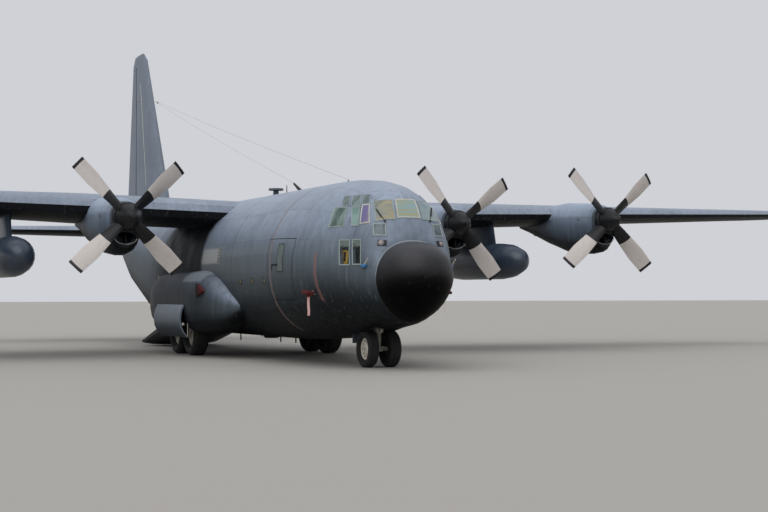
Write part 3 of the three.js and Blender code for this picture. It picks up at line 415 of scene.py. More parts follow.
# Moves a finished part into the piece's mesh, with one material for all its faces unless it has its own.
def join(bm, part, matrix=None, material=None):
    if material is not None:
        setMaterial(part.faces, material)
    if matrix is not None:
        bmesh.ops.transform(part, matrix=matrix, verts=part.verts)
    spare = bpy.data.meshes.new("spare")
    part.to_mesh(spare)
    part.free()
    bm.from_mesh(spare)
    bpy.data.meshes.remove(spare)


def turnTo(direction, axis="Z", up="Y"):
    return Vector(direction).to_track_quat(axis, up).to_matrix().to_4x4()


def bevelAll(bm, edge):
    bmesh.ops.bevel(bm, geom=bm.edges[:], offset=size(edge), offset_type="OFFSET", affect="EDGES",
        segments=2, profile=0.5, material=-1)


# Radii, block sizes, edges and profiles are full-size millimetres; starts, ends and middles are model
# places.
def addRod(bm, start, end, radius, endRadius=None, edges=14, material=0):
    part = bmesh.new()
    bmesh.ops.create_cone(part, cap_ends=True, segments=edges, radius1=size(radius),
        radius2=size(radius if endRadius is None else endRadius), depth=(end - start).length)
    join(bm, part, Matrix.Translation((start + end) / 2) @ turnTo(end - start), material)


def addChain(bm, points, radius, edges):
    for start, end in zip(points, points[1:]):
        addRod(bm, start, end, radius, edges=edges)


def addBlock(bm, middle, sizes, edge, turn=None, material=0):
    part = bmesh.new()
    bmesh.ops.create_cube(part, size=1.0, matrix=Matrix.Diagonal((*map(size, sizes), 1.0)))
    bevelAll(part, edge)
    join(bm, part, Matrix.Translation(middle) @ (turn or Matrix()), material)


# A turned part: the profile is [out from the axis, along it], and the axis points the given way.
def addTurned(bm, profile, middle, axis, steps=40, material=0):
    part = bmesh.new()
    verts = [part.verts.new((size(out), 0.0, size(along))) for out, along in profile]
    edges = [part.edges.new(pair) for pair in zip(verts, verts[1:])]
    bmesh.ops.spin(part, geom=verts + edges, cent=(0, 0, 0), axis=(0, 0, 1), angle=2 * math.pi,
        steps=steps, use_merge=True)
    bmesh.ops.remove_doubles(part, verts=part.verts, dist=size(0.1))
    faceOut(part)
    join(bm, part, Matrix.Translation(middle) @ turnTo(axis), material)


# The skin that details sit on: the solids of these nodes as one search tree.
def skinOf(*names, hull=False):
    bm = bmesh.new()
    for nodeName in names:
        bm.from_mesh(frame["nodes"][nodeName].data)
    if hull:
        bmesh.ops.convex_hull(bm, input=bm.verts)
        bmesh.ops.delete(bm, geom=[v for v in bm.verts if not v.link_faces], context="VERTS")
        faceOut(bm)
    tree = BVHTree.FromBMesh(bm)
    bm.free()
    return tree


noseHull = skinOf("nose_fuselage", hull=True)
bodySkin = skinOf("nose_fuselage", "centre_fuselage", "aft_fuselage", "tail_cone", "radome",
    "gear_fairing_port", "gear_fairing_starboard", "crew_door", "paratroop_door_port",
    "paratroop_door_starboard")
farOut = 3.0  # metres; past the skin from any place given below


# Where a ray from well outside, at a full-size place and direction, meets the skin, and how the skin faces
# there.
def onSkin(x, y, z, direction, tree=bodySkin):
    way = Vector(direction).normalized()
    spot, normal, _, _ = tree.ray_cast(at(x, y, z) - way * farOut, way)
    if normal.dot(way) > 0:
        normal = -normal
    return spot, normal


def onSide(y, z, sign, tree=bodySkin):
    return onSkin(0, y, z, (-sign, 0, 0), tree)


def onFront(x, z):
    return onSkin(x, 0, z, (0, 1, 0), noseHull)


# Evenly spaced places in full-size millimetres.
def evenly(first, step, count):
    return range(first, first + step * count, step)


def newVerts(made):
    return [v for v in made["geom"] if isinstance(v, bmesh.types.BMVert)]


# A flat strip that follows the skin through [y, z] places on one side of the body.
def addSideStrip(bm, places, sign, width, lift=4.4, material=0, cuts=14):
    shares = [step / cuts for step in range(cuts)]
    chain = [(y0 + (y1 - y0) * share, z0 + (z1 - z0) * share)
        for (y0, z0), (y1, z1) in zip(places, places[1:]) for share in shares] + places[-1:]
    part = bmesh.new()
    spots = [onSide(y, z, sign) for y, z in chain]
    verts = [part.verts.new(spot + normal * size(lift)) for spot, normal in spots]
    edges = [part.edges.new(pair) for pair in zip(verts, verts[1:])]
    copies = newVerts(bmesh.ops.extrude_edge_only(part, edges=edges))
    along = [spots[min(i + 1, len(spots) - 1)][0] - spots[max(i - 1, 0)][0] for i in range(len(spots))]
    for i, vert in enumerate(verts):
        aside = along[i].cross(spots[i][1]).normalized() * size(width) / 2
        twin = min(copies, key=lambda c: (c.co - vert.co).length)
        twin.co += aside
        vert.co -= aside
    bmesh.ops.solidify(part, geom=part.faces[:], thickness=size(4))
    faceOut(part)
    join(bm, part, material=material)


# The solid's own surface with its facets blended, so that light runs over it as over rolled sheet.
def dress(nodeName, material, smoothTo=32):
    bm = bmesh.new()
    bm.from_mesh(frame["nodes"][nodeName].data)
    bmesh.ops.remove_doubles(bm, verts=bm.verts, dist=size(0.6))
    bmesh.ops.dissolve_limit(bm, angle_limit=math.radians(0.6), verts=bm.verts, edges=bm.edges)
    return finishPiece(nodeName + "_skin", bm, [material], bodyOf[nodeName], (nodeName,), smoothTo)


def bothSides(*names):
    return [f"{name}_{sideName}" for sideName in sides for name in names]


finishes = [
    (greyBody, "matt_grey_paint", ["nose_fuselage", "centre_fuselage", "aft_fuselage", "tail_cone",
        "crew_door", "aft_cargo_door", "nose_gear_door", *bothSides("paratroop_door")]),
    (greyDoor, "matt_grey_paint", bothSides("gear_door")),
    (greyFairing, "matt_grey_paint", bothSides("gear_fairing")),
    (greyWing, "matt_grey_paint", ["wing_centre", "stabilizer",
        *bothSides("wing", "flap_inner", "flap_outer", "aileron", "elevator")]),
    (greyFin, "matt_grey_paint", ["fin", "rudder"]),
    (podInner, "nacelle_paint", bothSides("nacelle_inner")),
    (podOuter, "nacelle_paint", bothSides("nacelle_outer")),
    (tankPaint, "tank_paint", bothSides("tank")),
    (floorPaint, "floor_paint", ["cargo_floor", "cargo_ramp"]),
    (radomeBlack, "radome_coating", ["radome"]),
    (gearEnamel, "gear_enamel", [*bothSides("main_leg"), "nose_leg", "nose_fork"]),
    (cabinPaint, "cockpit_paint", ["flight_deck"]),
]
for material, slot, nodes in finishes:
    for nodeName in nodes:
        dress(nodeName, material, 50 if "fairing" in nodeName else 32)
print("solids are dressed")

hubs = {
    "outer_starboard": (-10476, 4230), "inner_starboard": (-5122, 4020),
    "inner_port": (5122, 4020), "outer_port": (10476, 4230),
}
propY = 8580
blades = {
    "white": "#c3bcb7", "worn": "#a39d98", "cuff": "#151618", "tip": "#1c1c20", "cuffEnd": 900,
    "tipStart": 1975, "feather": 6, "roughness": 0.34, "shine": 0.3, "depth": 0.0005,
}


# Painted aluminium blade: pale paint between a rubber de-icing cuff and a dark tip, by distance from the hub.
def bladePaint(name, hubX, hubZ):
    material, tree, shader = newMaterial(name)
    where = node(tree, "TexCoord").outputs["Object"]
    centred = node(tree, "Mapping", {"Vector": where, "Location": -at(hubX, propY, hubZ)})
    x, _, z = node(tree, "SeparateXYZ", (centred,)).outputs
    flat = node(tree, "CombineXYZ", {"X": x, "Z": z})
    radius = node(tree, "VectorMath", (flat,), operation="LENGTH").outputs["Value"]
    cloud, fine = [node(tree, "TexNoise", {"Vector": where, "Scale": scale, "Detail": detail, **clouds})
        for scale, detail in ((14.0, 6.0), (90.0, 4.0))]
    edge, tip, cuff = size(blades["feather"]), size(blades["tipStart"]), size(blades["cuffEnd"])
    base = layer(tree, toLinear(blades["white"]), blades["worn"], (cloud, 0.5, 0.75), 0.35)
    base = layer(tree, base, blades["tip"], (radius, tip - edge, tip + edge))
    base = layer(tree, base, blades["cuff"], (radius, cuff + edge, cuff - edge))
    surface(tree, shader, fine, 0.2, blades["roughness"], 0.4, maskOf(tree, fine, blades["depth"]))
    wire(tree, shader, {"Base Color": base, shine: blades["shine"]})
    return material


spinner = {
    "cap": [(0, -640), (60, -632), (78, -600), (70, -585)],
    "ring": [(396, -20), (408, -12), (408, 12), (396, 20)],
}
for hubName, (hubX, hubZ) in hubs.items():
    body = f"propeller_{hubName}"
    dress(body, bladePaint(f"bladePaint_{hubName}", hubX, hubZ), 40)
    bm = bmesh.new()
    for profile in spinner.values():
        addTurned(bm, profile, at(hubX, propY, hubZ), (0, 1, 0))
    finishPiece(f"spinner_trim_{hubName}", bm, [blackRubber], body)
print("propellers are painted")

# Window holes as [y, z] on a side or [x, z] in front, each with its frame and its coating.
windows = {
    "outer": 32, "frame": 22, "proud": 17, "sunk": 8, "lip": 8, "skirt": 60, "cuts": 7,
    "heart": (0, 2600, 2600),
    "side": [
        ([(2635, 4028), (2198, 4008), (2022, 3557), (2468, 3547)], "frame", "sage"),
        ([(2055, 4015), (1809, 4014), (1537, 3562), (1745, 3569)], "frame", "mint"),
        ([(1769, 4050), (1580, 4052), (1271, 3624), (1503, 3610)], "cream", "violet"),
        ([(2674, 4318), (2437, 4306), (2176, 4079), (2423, 4075)], "skin", "dull"),
        ([(2363, 4321), (2133, 4317), (1829, 4063), (2113, 4076)], "skin", "dull"),
        ([(2076, 4319), (1869, 4317), (1630, 4105), (1813, 4097)], "skin", "dull"),
        ([(1968, 3185), (1651, 3176), (1545, 2601), (1841, 2605)], "frame", "dark"),
        ([(1559, 3186), (1311, 3179), (1221, 2608), (1446, 2612)], "frame", "dark"),
    ],
    "front": [
        ([(378, 3718), (806, 3661), (706, 4117), (354, 4154)], "frame", {1: "haze", -1: "beige"}),
        ([(672, 3303), (913, 3304), (875, 3563), (640, 3562)], "frame", {1: "smoke", -1: "smoke"}),
    ],
    "middle": [(-286, 3750), (286, 3750), (240, 4170), (-240, 4170)],
}
glazing = {"ior": 1.52, "spread": 0.12, "roughness": 0.03, "grease": 12.0, "clear": 0.95}


# Laminated glazing with a coating that turns green, gold or violet: smooth, dark behind, strongly reflecting.
def windowGlass(name, tint, second, pattern, alpha=0.86, paleTop=None):
    material, tree, shader = newMaterial(name)
    where = node(tree, "TexCoord").outputs["Object"]
    stretched = node(tree, "Mapping", {"Vector": where, "Scale": pattern})
    cloud = node(tree, "TexNoise", {"Vector": stretched, "Scale": 1.0, "Detail": 2.0, **clouds})
    grease = node(tree, "TexNoise", {"Vector": where, "Scale": glazing["grease"], "Detail": 4.0, **clouds})
    low, high = 0.5 - glazing["spread"], 0.5 + glazing["spread"]
    base = layer(tree, toLinear(tint), second, (cloud, low, high))
    wire(tree, shader, {"IOR": glazing["ior"], "Alpha": alpha,
        "Roughness": node(tree, "Math", (grease, 0.14, glazing["roughness"]), **timesPlus)})
    # Over its top the pane turns paler and less clear.
    if paleTop:
        low, high, colour = paleTop
        height = node(tree, "SeparateXYZ", (where,)).outputs[2]
        mask = maskOf(tree, (height, size(low), size(high)), (grease, 0.35, 0.5, 0.6, 1.0))
        base = layer(tree, base, colour, mask)
        clear = node(tree, "Math", (mask, glazing["clear"] - alpha, alpha), **timesPlus)
        wire(tree, shader, {"Alpha": clear})
    wire(tree, shader, {"Base Color": base})
    material.surface_render_method = "BLENDED"
    return material


coatings = {
    "sage": ("#3f5650", "#7c908a", (2.0, 5.0, 3.0)), "mint": ("#6f8d86", "#87a39c", (3.0, 3.0, 6.0)),
    "violet": ("#6c6795", "#8a7c93", (4.0, 4.0, 4.0)), "dull": ("#5d6d6b", "#7b8987", (3.0, 8.0, 3.0)),
    "beige": ("#7b837c", "#9a9070", (4.0, 4.0, 5.0)), "haze": ("#8596a0", "#93a3a6", (4.0, 4.0, 5.0)),
    "aqua": ("#8fadb2", "#a5a686", (1.2, 1.2, 22.0)), "smoke": ("#36444a", "#66757a", (9.0, 9.0, 7.0)),
}
panes = {tint: windowGlass("coatedGlass" + tint.capitalize(), *values) for tint, values in coatings.items()}
panes["dark"] = windowGlass("clearDarkGlass", "#0d1110", "#33403b", (22.0, 22.0, 7.0), 0.4,
    (2990, 3070, "#5f6b65"))


# One window laid on the nose's skin: a raised frame round a slightly sunken pane.
def addWindow(bm, corners, axis, sign, frameIndex, paneIndex):
    middle = sum(map(Vector, corners), Vector((0, 0))) / 4
    part = bmesh.new()
    spots = []
    for corner in map(Vector, corners):
        a, z = corner + (corner - middle).normalized() * windows["outer"]
        spot, _ = onSide(a, z, sign, noseHull) if axis == "side" else onFront(a * sign, z)
        spots.append(spot)
    face = part.faces.new([part.verts.new(spot) for spot in spots])
    face.material_index = paneIndex
    part.normal_update()
    border = bmesh.ops.inset_region(part, faces=[face], thickness=size(windows["frame"]), use_boundary=True,
        use_even_offset=True)
    setMaterial(border["faces"], frameIndex)
    bmesh.ops.subdivide_edges(part, edges=part.edges[:], cuts=windows["cuts"], use_grid_fill=True)
    faceOut(part)
    heart = at(*windows["heart"])
    for vert in part.verts:
        heading = (vert.co - heart).normalized()
        spot, normal, _, _ = noseHull.ray_cast(heart + heading * (farOut + 1), -heading)
        if normal.dot(spot - heart) < 0:
            normal = -normal
        vert.co = spot + normal * size(windows["proud"])
    # The pane steps down inside its frame, and the frame's outer edge turns in to the skin.
    part.normal_update()
    pane = [f for f in part.faces if f.material_index == paneIndex]
    inward = sum((heart - f.calc_center_median() for f in pane), Vector()).normalized()
    border = bmesh.ops.inset_region(part, faces=pane, thickness=size(windows["lip"]))
    setMaterial(border["faces"], frameIndex)
    paneVerts = list({v for f in pane for v in f.verts})
    bmesh.ops.translate(part, verts=paneVerts, vec=inward * size(windows["sunk"]))
    rim = newVerts(bmesh.ops.extrude_edge_only(part, edges=[e for e in part.edges if e.is_boundary]))
    bmesh.ops.translate(part, verts=rim, vec=inward * size(windows["skirt"]))
    faceOut(part)
    join(bm, part)


rims = {"frame": frameEnamel, "cream": creamEnamel, "skin": sillPaint}
coats = [*rims, *panes]
glazed = bmesh.new()
for sign in sides.values():
    for corners, rim, tint in windows["side"]:
        addWindow(glazed, corners, "side", sign, coats.index(rim), coats.index(tint))
    for corners, rim, tints in windows["front"]:
        addWindow(glazed, corners, "front", sign, coats.index(rim), coats.index(tints[sign]))
addWindow(glazed, windows["middle"], "front", 1, coats.index("cream"), coats.index("aqua"))
glass = glazed.copy()
for bm, isFrame in ((glazed, True), (glass, False)):
    others = [f for f in bm.faces if (f.material_index < len(rims)) != isFrame]
    bmesh.ops.delete(bm, geom=others, context="FACES")
finishPiece("window_frames", glazed, rims.values())
finishPiece("window_panes", glass, [*rims.values(), *panes.values()],
    replaces=("windscreen_glass", "lower_glass_port", "lower_glass_starboard"))
print("cockpit is glazed")

# Wiper ends and lamps as [x, z] in front; probe, pitot head and case as [y, z] on a side.
# Blocks: how far out, moved by, sizes, edge. Case bars: aside, up, sizes, edge.
nose = {
    "wiper": {1: [(700, 3990), (560, 3650)], -1: [(742, 3932), (627, 3639)]}, "wiperLift": 38, "arm": 7,
    "rubber": 12, "rubberShare": 0.62, "rubberAside": (18, -4), "boss": (46, 46, 46),
    "lamp": (775, 3107), "lampAside": 28, "recessShadePlate": (230, 150, 20),
    "lens": [(0, 40), (34, 34), (52, 16), (56, 0)], "bezel": [(54, 0), (68, 6), (68, 22), (56, 26)],
    "probe": (1110, 2551), "probeFoot": (120, 130, 80), "footOut": 30, "probeOut": 40,
    "probeTip": (0, -230, 170), "probeTipOut": 45, "probeRadii": (20, 12),
    "pitot": (2960, 1925), "base": [(70, 0), (74, 10), (40, 16), (0, 16)], "droop": -0.1, "sag": -10,
    "stalk": (150, 32, 20), "head": (250, 90, 170, 20, 14),
    "cover": [(160, (0, 0, 0), (300, 170, 96), 34), (250, (0, -40, 6), (90, 290, 80), 30),
        (150, (0, 0, -70), (130, 100, 80), 30)],
    "case": (1825, 2790), "caseBehind": 120,
    "caseBars": [(82, 0, (40, 72, 330), 14), (-82, 0, (40, 72, 330), 14), (0, -140, (44, 230, 80), 16),
        (0, 150, (36, 190, 50), 14)],
}
bm = bmesh.new()
for sign in sides.values():
    ends = [onFront(sign * x, z) for x, z in nose["wiper"][sign]]
    top, foot = [spot + normal * size(nose["wiperLift"]) for spot, normal in ends]
    addRod(bm, top, foot, nose["arm"])
    x, y = nose["rubberAside"]
    aside = shift(sign * x, y, 0)
    addRod(bm, top + aside, top.lerp(foot, nose["rubberShare"]) + aside, nose["rubber"], edges=8)
    addBlock(bm, foot, nose["boss"], 12)
    # Lamp on a black plate, painted shade that stands for the shaded recess round it.
    x, z = nose["lamp"]
    spot, normal = onFront(sign * x, z)
    turn = turnTo(normal)
    addBlock(bm, spot, nose["recessShadePlate"], 9, turn)
    heart = spot + turn.to_3x3() @ shift(nose["lampAside"] * sign, 0, 0)
    addTurned(bm, nose["lens"], heart, normal, 24, 1)
    addTurned(bm, nose["bezel"], heart, normal, 24, 2)
finishPiece("wipers_and_lamps", bm, [blackRubber, lampRose, steel])

bm = bmesh.new()
for sign in sides.values():
    spot, normal = onSide(*nose["probe"], sign, noseHull)
    foot, start, end = [spot + normal * size(nose[key]) for key in ("footOut", "probeOut", "probeTipOut")]
    addBlock(bm, foot, nose["probeFoot"], 16, turnTo(normal, "X", "Z"), 1)
    addRod(bm, start, end + shift(*nose["probeTip"]), *nose["probeRadii"], material=2)
    # Pitot head under its red cover.
    spot, normal = onSide(*nose["pitot"], sign)
    out = Vector((sign, 0, nose["droop"])).normalized()
    addTurned(bm, nose["base"], spot, normal, 24)
    long, wide, narrow = nose["stalk"]
    addRod(bm, spot, spot + out * size(long), wide, narrow)
    long, aft, ahead, wide, narrow = nose["head"]
    head = spot + out * size(long)
    addRod(bm, head + shift(0, aft, 0), head - shift(0, ahead, 0), wide, narrow)
    sag = Matrix.Rotation(math.radians(nose["sag"] * sign), 4, "Y")
    for long, moved, sizes, edge in nose["cover"]:
        addBlock(bm, spot + out * size(long) + shift(*moved), sizes, edge, None if any(moved) else sag, 3)
finishPiece("probes", bm, [steel, probeBlue, rimEnamel, coverRed])

# A yellow plastic case with an open middle stands behind the rear lower pane.
bm = bmesh.new()
spot, normal = onSide(*nose["case"], -1, noseHull)
turn = turnTo(normal, "X", "Z")
for aside, up, sizes, edge in nose["caseBars"]:
    bar = spot - normal * size(nose["caseBehind"]) + turn.to_3x3() @ shift(0, aside, 0) + shift(0, 0, up)
    addBlock(bm, bar, sizes, edge, turn)
finishPiece("yellow_case", bm, [caseYellow])

# A cloth streamer hangs under each pitot cover, turned out from the side and waving a little at its end.
streamer = {
    "wide": 80, "long": 540, "top": 1870, "away": 150, "ahead": 10, "turn": 60,
    "waves": 6.0, "swing": (8, 12),
}
for sideName, sign in sides.items():
    spot = onSide(*nose["pitot"], sign)[0]
    top = spot + Vector((size(streamer["away"]) * sign, -size(streamer["ahead"]),
        size(streamer["top"]) - spot.z))
    bm = bmesh.new()
    bmesh.ops.create_grid(bm, x_segments=4, y_segments=24, size=0.5,
        matrix=Matrix.Diagonal((size(streamer["wide"]), size(streamer["long"]), 1.0, 1.0)))
    for angle, axis in ((math.pi / 2, "X"), (math.radians(streamer["turn"]) * sign, "Z")):
        bmesh.ops.rotate(bm, verts=bm.verts, cent=(0, 0, 0), matrix=Matrix.Rotation(angle, 3, axis))
    bmesh.ops.translate(bm, verts=bm.verts, vec=top - shift(0, 0, streamer["long"] / 2))
    outward, aft = streamer["swing"]
    for vert in bm.verts:
        drop = (top.z - vert.co.z) / size(streamer["long"])
        vert.co += shift(sign * outward, aft, 0) * math.sin(drop * streamer["waves"]) * drop
    cloth = finishPiece(f"streamer_{sideName}", bm, [streamerCloth])
print("nose is fitted out")

# Places are [y, z] on a side. Strips: places, width, lift, material. Belly aerials: station, depth, width.
flank = {
    "portholes": [(5710, 2230), (6709, 2230), (7749, 2230), (16400, 2420)],
    "glass": [(0, 4), (46.8, 5), (78, 2)], "rim": [(78, 0), (78, 9), (94, 9), (102, -4)],
    "hatch": [(5380, 3330), (3740, 3300), (3880, 1730), (5430, 1720), (5380, 3330)],
    "strips": [
        ([(4515, 3180), (4515, 2460)], 360, 3.6, 1),
        ([(4700, 3180), (4330, 3180), (4330, 2460), (4700, 2460), (4700, 3180)], 14, 6, 0),
        ([(5080, 2640), (4700, 2640)], 34, 12, 0), ([(5060, 2640), (5060, 2500)], 34, 12, 0),
        ([(9640, 3240), (9600, 2720)], 26, 5.6, 2), ([(9860, 3240), (9820, 2720)], 26, 5.6, 2),
    ],
    "rungs": (9600, 9880), "rungLevels": (2770, 90, 6),
    "belly": [(14200, 240, 85), (12100, 70, 80), (10340, 190, 80), (9030, 180, 80)], "bellyThick": 22,
    "bellySunk": 10, "puckY": 11170, "puck": [(0, -85), (196, -80), (245, -45), (254.8, 10)],
}
porthole = windowGlass("amberPortholeGlass", "#55532a", "#6a6434", (8.0, 8.0, 8.0))
for sideName, sign in sides.items():
    bm = bmesh.new()
    for window in flank["portholes"]:
        spot, normal = onSide(*window, sign)
        addTurned(bm, flank["glass"], spot, normal, 28, 1)
        addTurned(bm, flank["rim"], spot, normal, 28)
    finishPiece(f"portholes_{sideName}", bm, [blackRubber, porthole])

    bm = bmesh.new()
    addSideStrip(bm, flank["hatch"], sign, 16)
    if sideName == "starboard":
        for places, width, lift, material in flank["strips"]:
            addSideStrip(bm, places, sign, width, lift, material)
        for z in evenly(*flank["rungLevels"]):
            addSideStrip(bm, [(y, z) for y in flank["rungs"]], sign, 18, 5.6, 2, cuts=2)
    finishPiece(f"hatch_lines_{sideName}", bm, [blackRubber, frameEnamel, rimEnamel])

bm = bmesh.new()
for y, deep, width in flank["belly"]:
    middle = onSkin(0, y, 0, (0, 0, 1))[0] - shift(0, 0, deep / 2 - flank["bellySunk"])
    addBlock(bm, middle, (flank["bellyThick"], width, deep), 9)
addTurned(bm, flank["puck"], onSkin(0, flank["puckY"], 0, (0, 0, 1))[0], (0, 0, 1), 36)
finishPiece("belly_aerials", bm, [blackRubber])

# Plug in the air inlet at the front of each fairing: a red pad with a black edge.
plug = {
    "y": 9760, "z": 1980, "high": 370, "wide": 480, "out": 70, "thick": 100, "tilt": 12, "round": 18,
    "rim": (130, 110, 388.5), "rimOut": 45,
}
for sideName, sign in sides.items():
    spot = onSide(plug["y"], plug["z"], sign)[0] + shift(sign * plug["out"], 0, 0)
    aft, top = plug["wide"] / 2, plug["high"] / 2
    bm = bmesh.new()
    corners = [(aft, top), (aft, -top), (-aft, -top / 10)]
    face = bm.faces.new([bm.verts.new(spot + shift(-sign * plug["thick"] / 2, a, b)) for a, b in corners])
    made = newVerts(bmesh.ops.extrude_face_region(bm, geom=[face]))
    bmesh.ops.translate(bm, verts=made, vec=shift(sign * plug["thick"], 0, plug["tilt"]))
    faceOut(bm)
    bevelAll(bm, plug["round"])
    addBlock(bm, spot + shift(sign * plug["rimOut"], aft, 0), plug["rim"], 12, material=1)
    finishPiece(f"inlet_plug_{sideName}", bm, [coverRed, blackRubber])

# The hanging gear doors: a stay at the front, a pale fitting, and a row of brackets along the top.
gearDoor = {
    "stay": [(2675, 11146, 1330), (2668, 11146, 610)], "stayRadius": 13,
    "fitting": (2817, 11128, 971), "fittingSize": (70, 50, 80),
    "bracket": (2752, 1572), "bracketSize": (60, 130, 60), "brackets": (11410, 600, 5),
}
for sideName, sign in sides.items():
    bm = bmesh.new()
    high, low = [at(sign * x, y, z) for x, y, z in gearDoor["stay"]]
    addRod(bm, high, low, gearDoor["stayRadius"], edges=10)
    x, y, z = gearDoor["fitting"]
    addBlock(bm, at(sign * x, y, z), gearDoor["fittingSize"], 14)
    x, z = gearDoor["bracket"]
    for y in evenly(*gearDoor["brackets"]):
        addBlock(bm, at(sign * x, y, z), gearDoor["bracketSize"], 14, material=1)
    finishPiece(f"gear_door_trim_{sideName}", bm, [rimEnamel, gearEnamel])
print("sides are fitted out")

# Profiles as shares of the radius and of half the width; wheels as x, y, radius, width, body, node.
wheels = {
    "tyre": [(0.58, 0.44), (0.62, 0.5), (0.70, 0.86), (0.80, 0.99), (0.90, 0.93), (0.955, 0.78),
        (0.985, 0.62)],
    "grooves": [(0.56, 0.50), (0.24, 0.18)], "grooveDepth": 0.022, "grooveSlope": 0.02, "shoulder": 0.6,
    "rim": [(0.58, 0.45), (0.55, 0.50), (0.52, 0.44), (0.49, 0.26), (0.34, 0.20), (0.30, 0.34), (0.20, 0.40),
        (0.17, 0.50), (0.0, 0.52)],
    "bolts": 10, "boltRing": 0.42, "boltIn": 0.22, "bolt": (26, 17),
    "nose": [(s * 310, 2900, 474.1, 300, "nose_wheels", f"nose_wheel_{n}") for n, s in sides.items()],
    "main": [(s * 2175, y, 701.3, 500, f"main_wheel_{e}_{n}", f"main_wheel_{e}_{n}")
        for n, s in sides.items() for e, y in (("front", 11938), ("rear", 13462))],
}


# A tyre with ribs round its tread on a dished, bolted wheel.
def addWheel(x, y, radius, width, body, nodeName):
    centre = at(x, y, radius)
    half = width / 2
    right = [(r * radius, w * half) for r, w in wheels["tyre"]] + [(radius, wheels["shoulder"] * half)]
    low, slope = (1 - wheels["grooveDepth"]) * radius, wheels["grooveSlope"]
    for outer, inner in wheels["grooves"]:
        right += [(r, w * half) for r, w in (
            (radius, outer), (low, outer - slope), (low, inner + slope), (radius, inner))]
    bm = bmesh.new()
    addTurned(bm, right + [(r, -w) for r, w in reversed(right)], centre, (1, 0, 0), steps=72)
    dish = [(r * radius, w * half) for r, w in wheels["rim"]]
    long, thick = wheels["bolt"]
    ring = radius * wheels["boltRing"]
    for facing in (1, -1):
        outside = facing * x > 0
        addTurned(bm, dish, centre, (facing, 0, 0), steps=48, material=1 if outside else 0)
        for i in range(wheels["bolts"] if outside else 0):
            angle = i * 2 * math.pi / wheels["bolts"]
            spot = centre + shift(facing * half * wheels["boltIn"],
                ring * math.cos(angle), ring * math.sin(angle))
            addRod(bm, spot, spot + shift(facing * long, 0, 0), thick, edges=6, material=2)
    finishPiece(nodeName + "_detail", bm, [tyreRubber, rimEnamel, steel], body, (nodeName,), 30)


for values in wheels["nose"] + wheels["main"]:
    addWheel(*values)

# Nose leg, counted from the leg's own station. Rods: foot, top, radii, material, on which sides.
# Collars: inner and outer radius, height, bevel, level.
both, once = (1, -1), (1,)
noseLeg = {
    "y": 2900, "axle": 474, "axleBlock": (200, 150, 150),
    "links": [
        ((0, 90, 640), (0, 230, 780), 26, 22, 0, once), ((0, 230, 780), (0, 120, 930), 22, 26, 0, once),
        ((-60, 230, 780), (60, 230, 780), 20, 20, 0, once),
        ((60, -95, 520), (60, -150, 520), 22, 22, 0, both), ((70, 40, 880), (72, 70, 560), 9, 9, 1, both),
    ],
    "linkCollars": [(80, 96, 58, 8, 870), (70, 88, 66, 6, 444)],
    "braces": [
        ((110, 60, 1180), (260, 560, 1700), 28, 28, 0, both),
        ((-180, 0, 1240), (180, 0, 1240), 34, 34, 0, once),
    ],
    "braceCollars": [(118, 136, 60, 8, 1060)],
    "lamp": (-170, 1260), "lampShape": [(0, -60), (80, -50), (96, 0), (60, 70), (0, 80)],
}


def onLeg(x, y, z):
    return at(x, noseLeg["y"] + y, z)


def addLegParts(bm, rods, collars):
    for foot, top, wide, narrow, material, signs in rods:
        for sign in signs:
            start, end = [onLeg(sign * x, y, z) for x, y, z in (foot, top)]
            addRod(bm, start, end, wide, narrow, material=material)
    for inner, outer, high, bevel, level in collars:
        profile = [(inner, 0), (outer, bevel), (outer, high - bevel), (inner, high)]
        addTurned(bm, profile, onLeg(0, 0, level), (0, 0, 1))


bm = bmesh.new()
addLegParts(bm, noseLeg["links"], noseLeg["linkCollars"])
addBlock(bm, onLeg(0, 0, noseLeg["axle"]), noseLeg["axleBlock"], 30)
finishPiece("nose_leg_links", bm, [gearEnamel, blackRubber], "nose_steering")

bm = bmesh.new()
addLegParts(bm, noseLeg["braces"], noseLeg["braceCollars"])
addTurned(bm, noseLeg["lampShape"], onLeg(0, *noseLeg["lamp"]), (0, -1, 0), material=1)
finishPiece("nose_leg_braces", bm, [gearEnamel, lampRose])
print("wheels and legs are detailed")

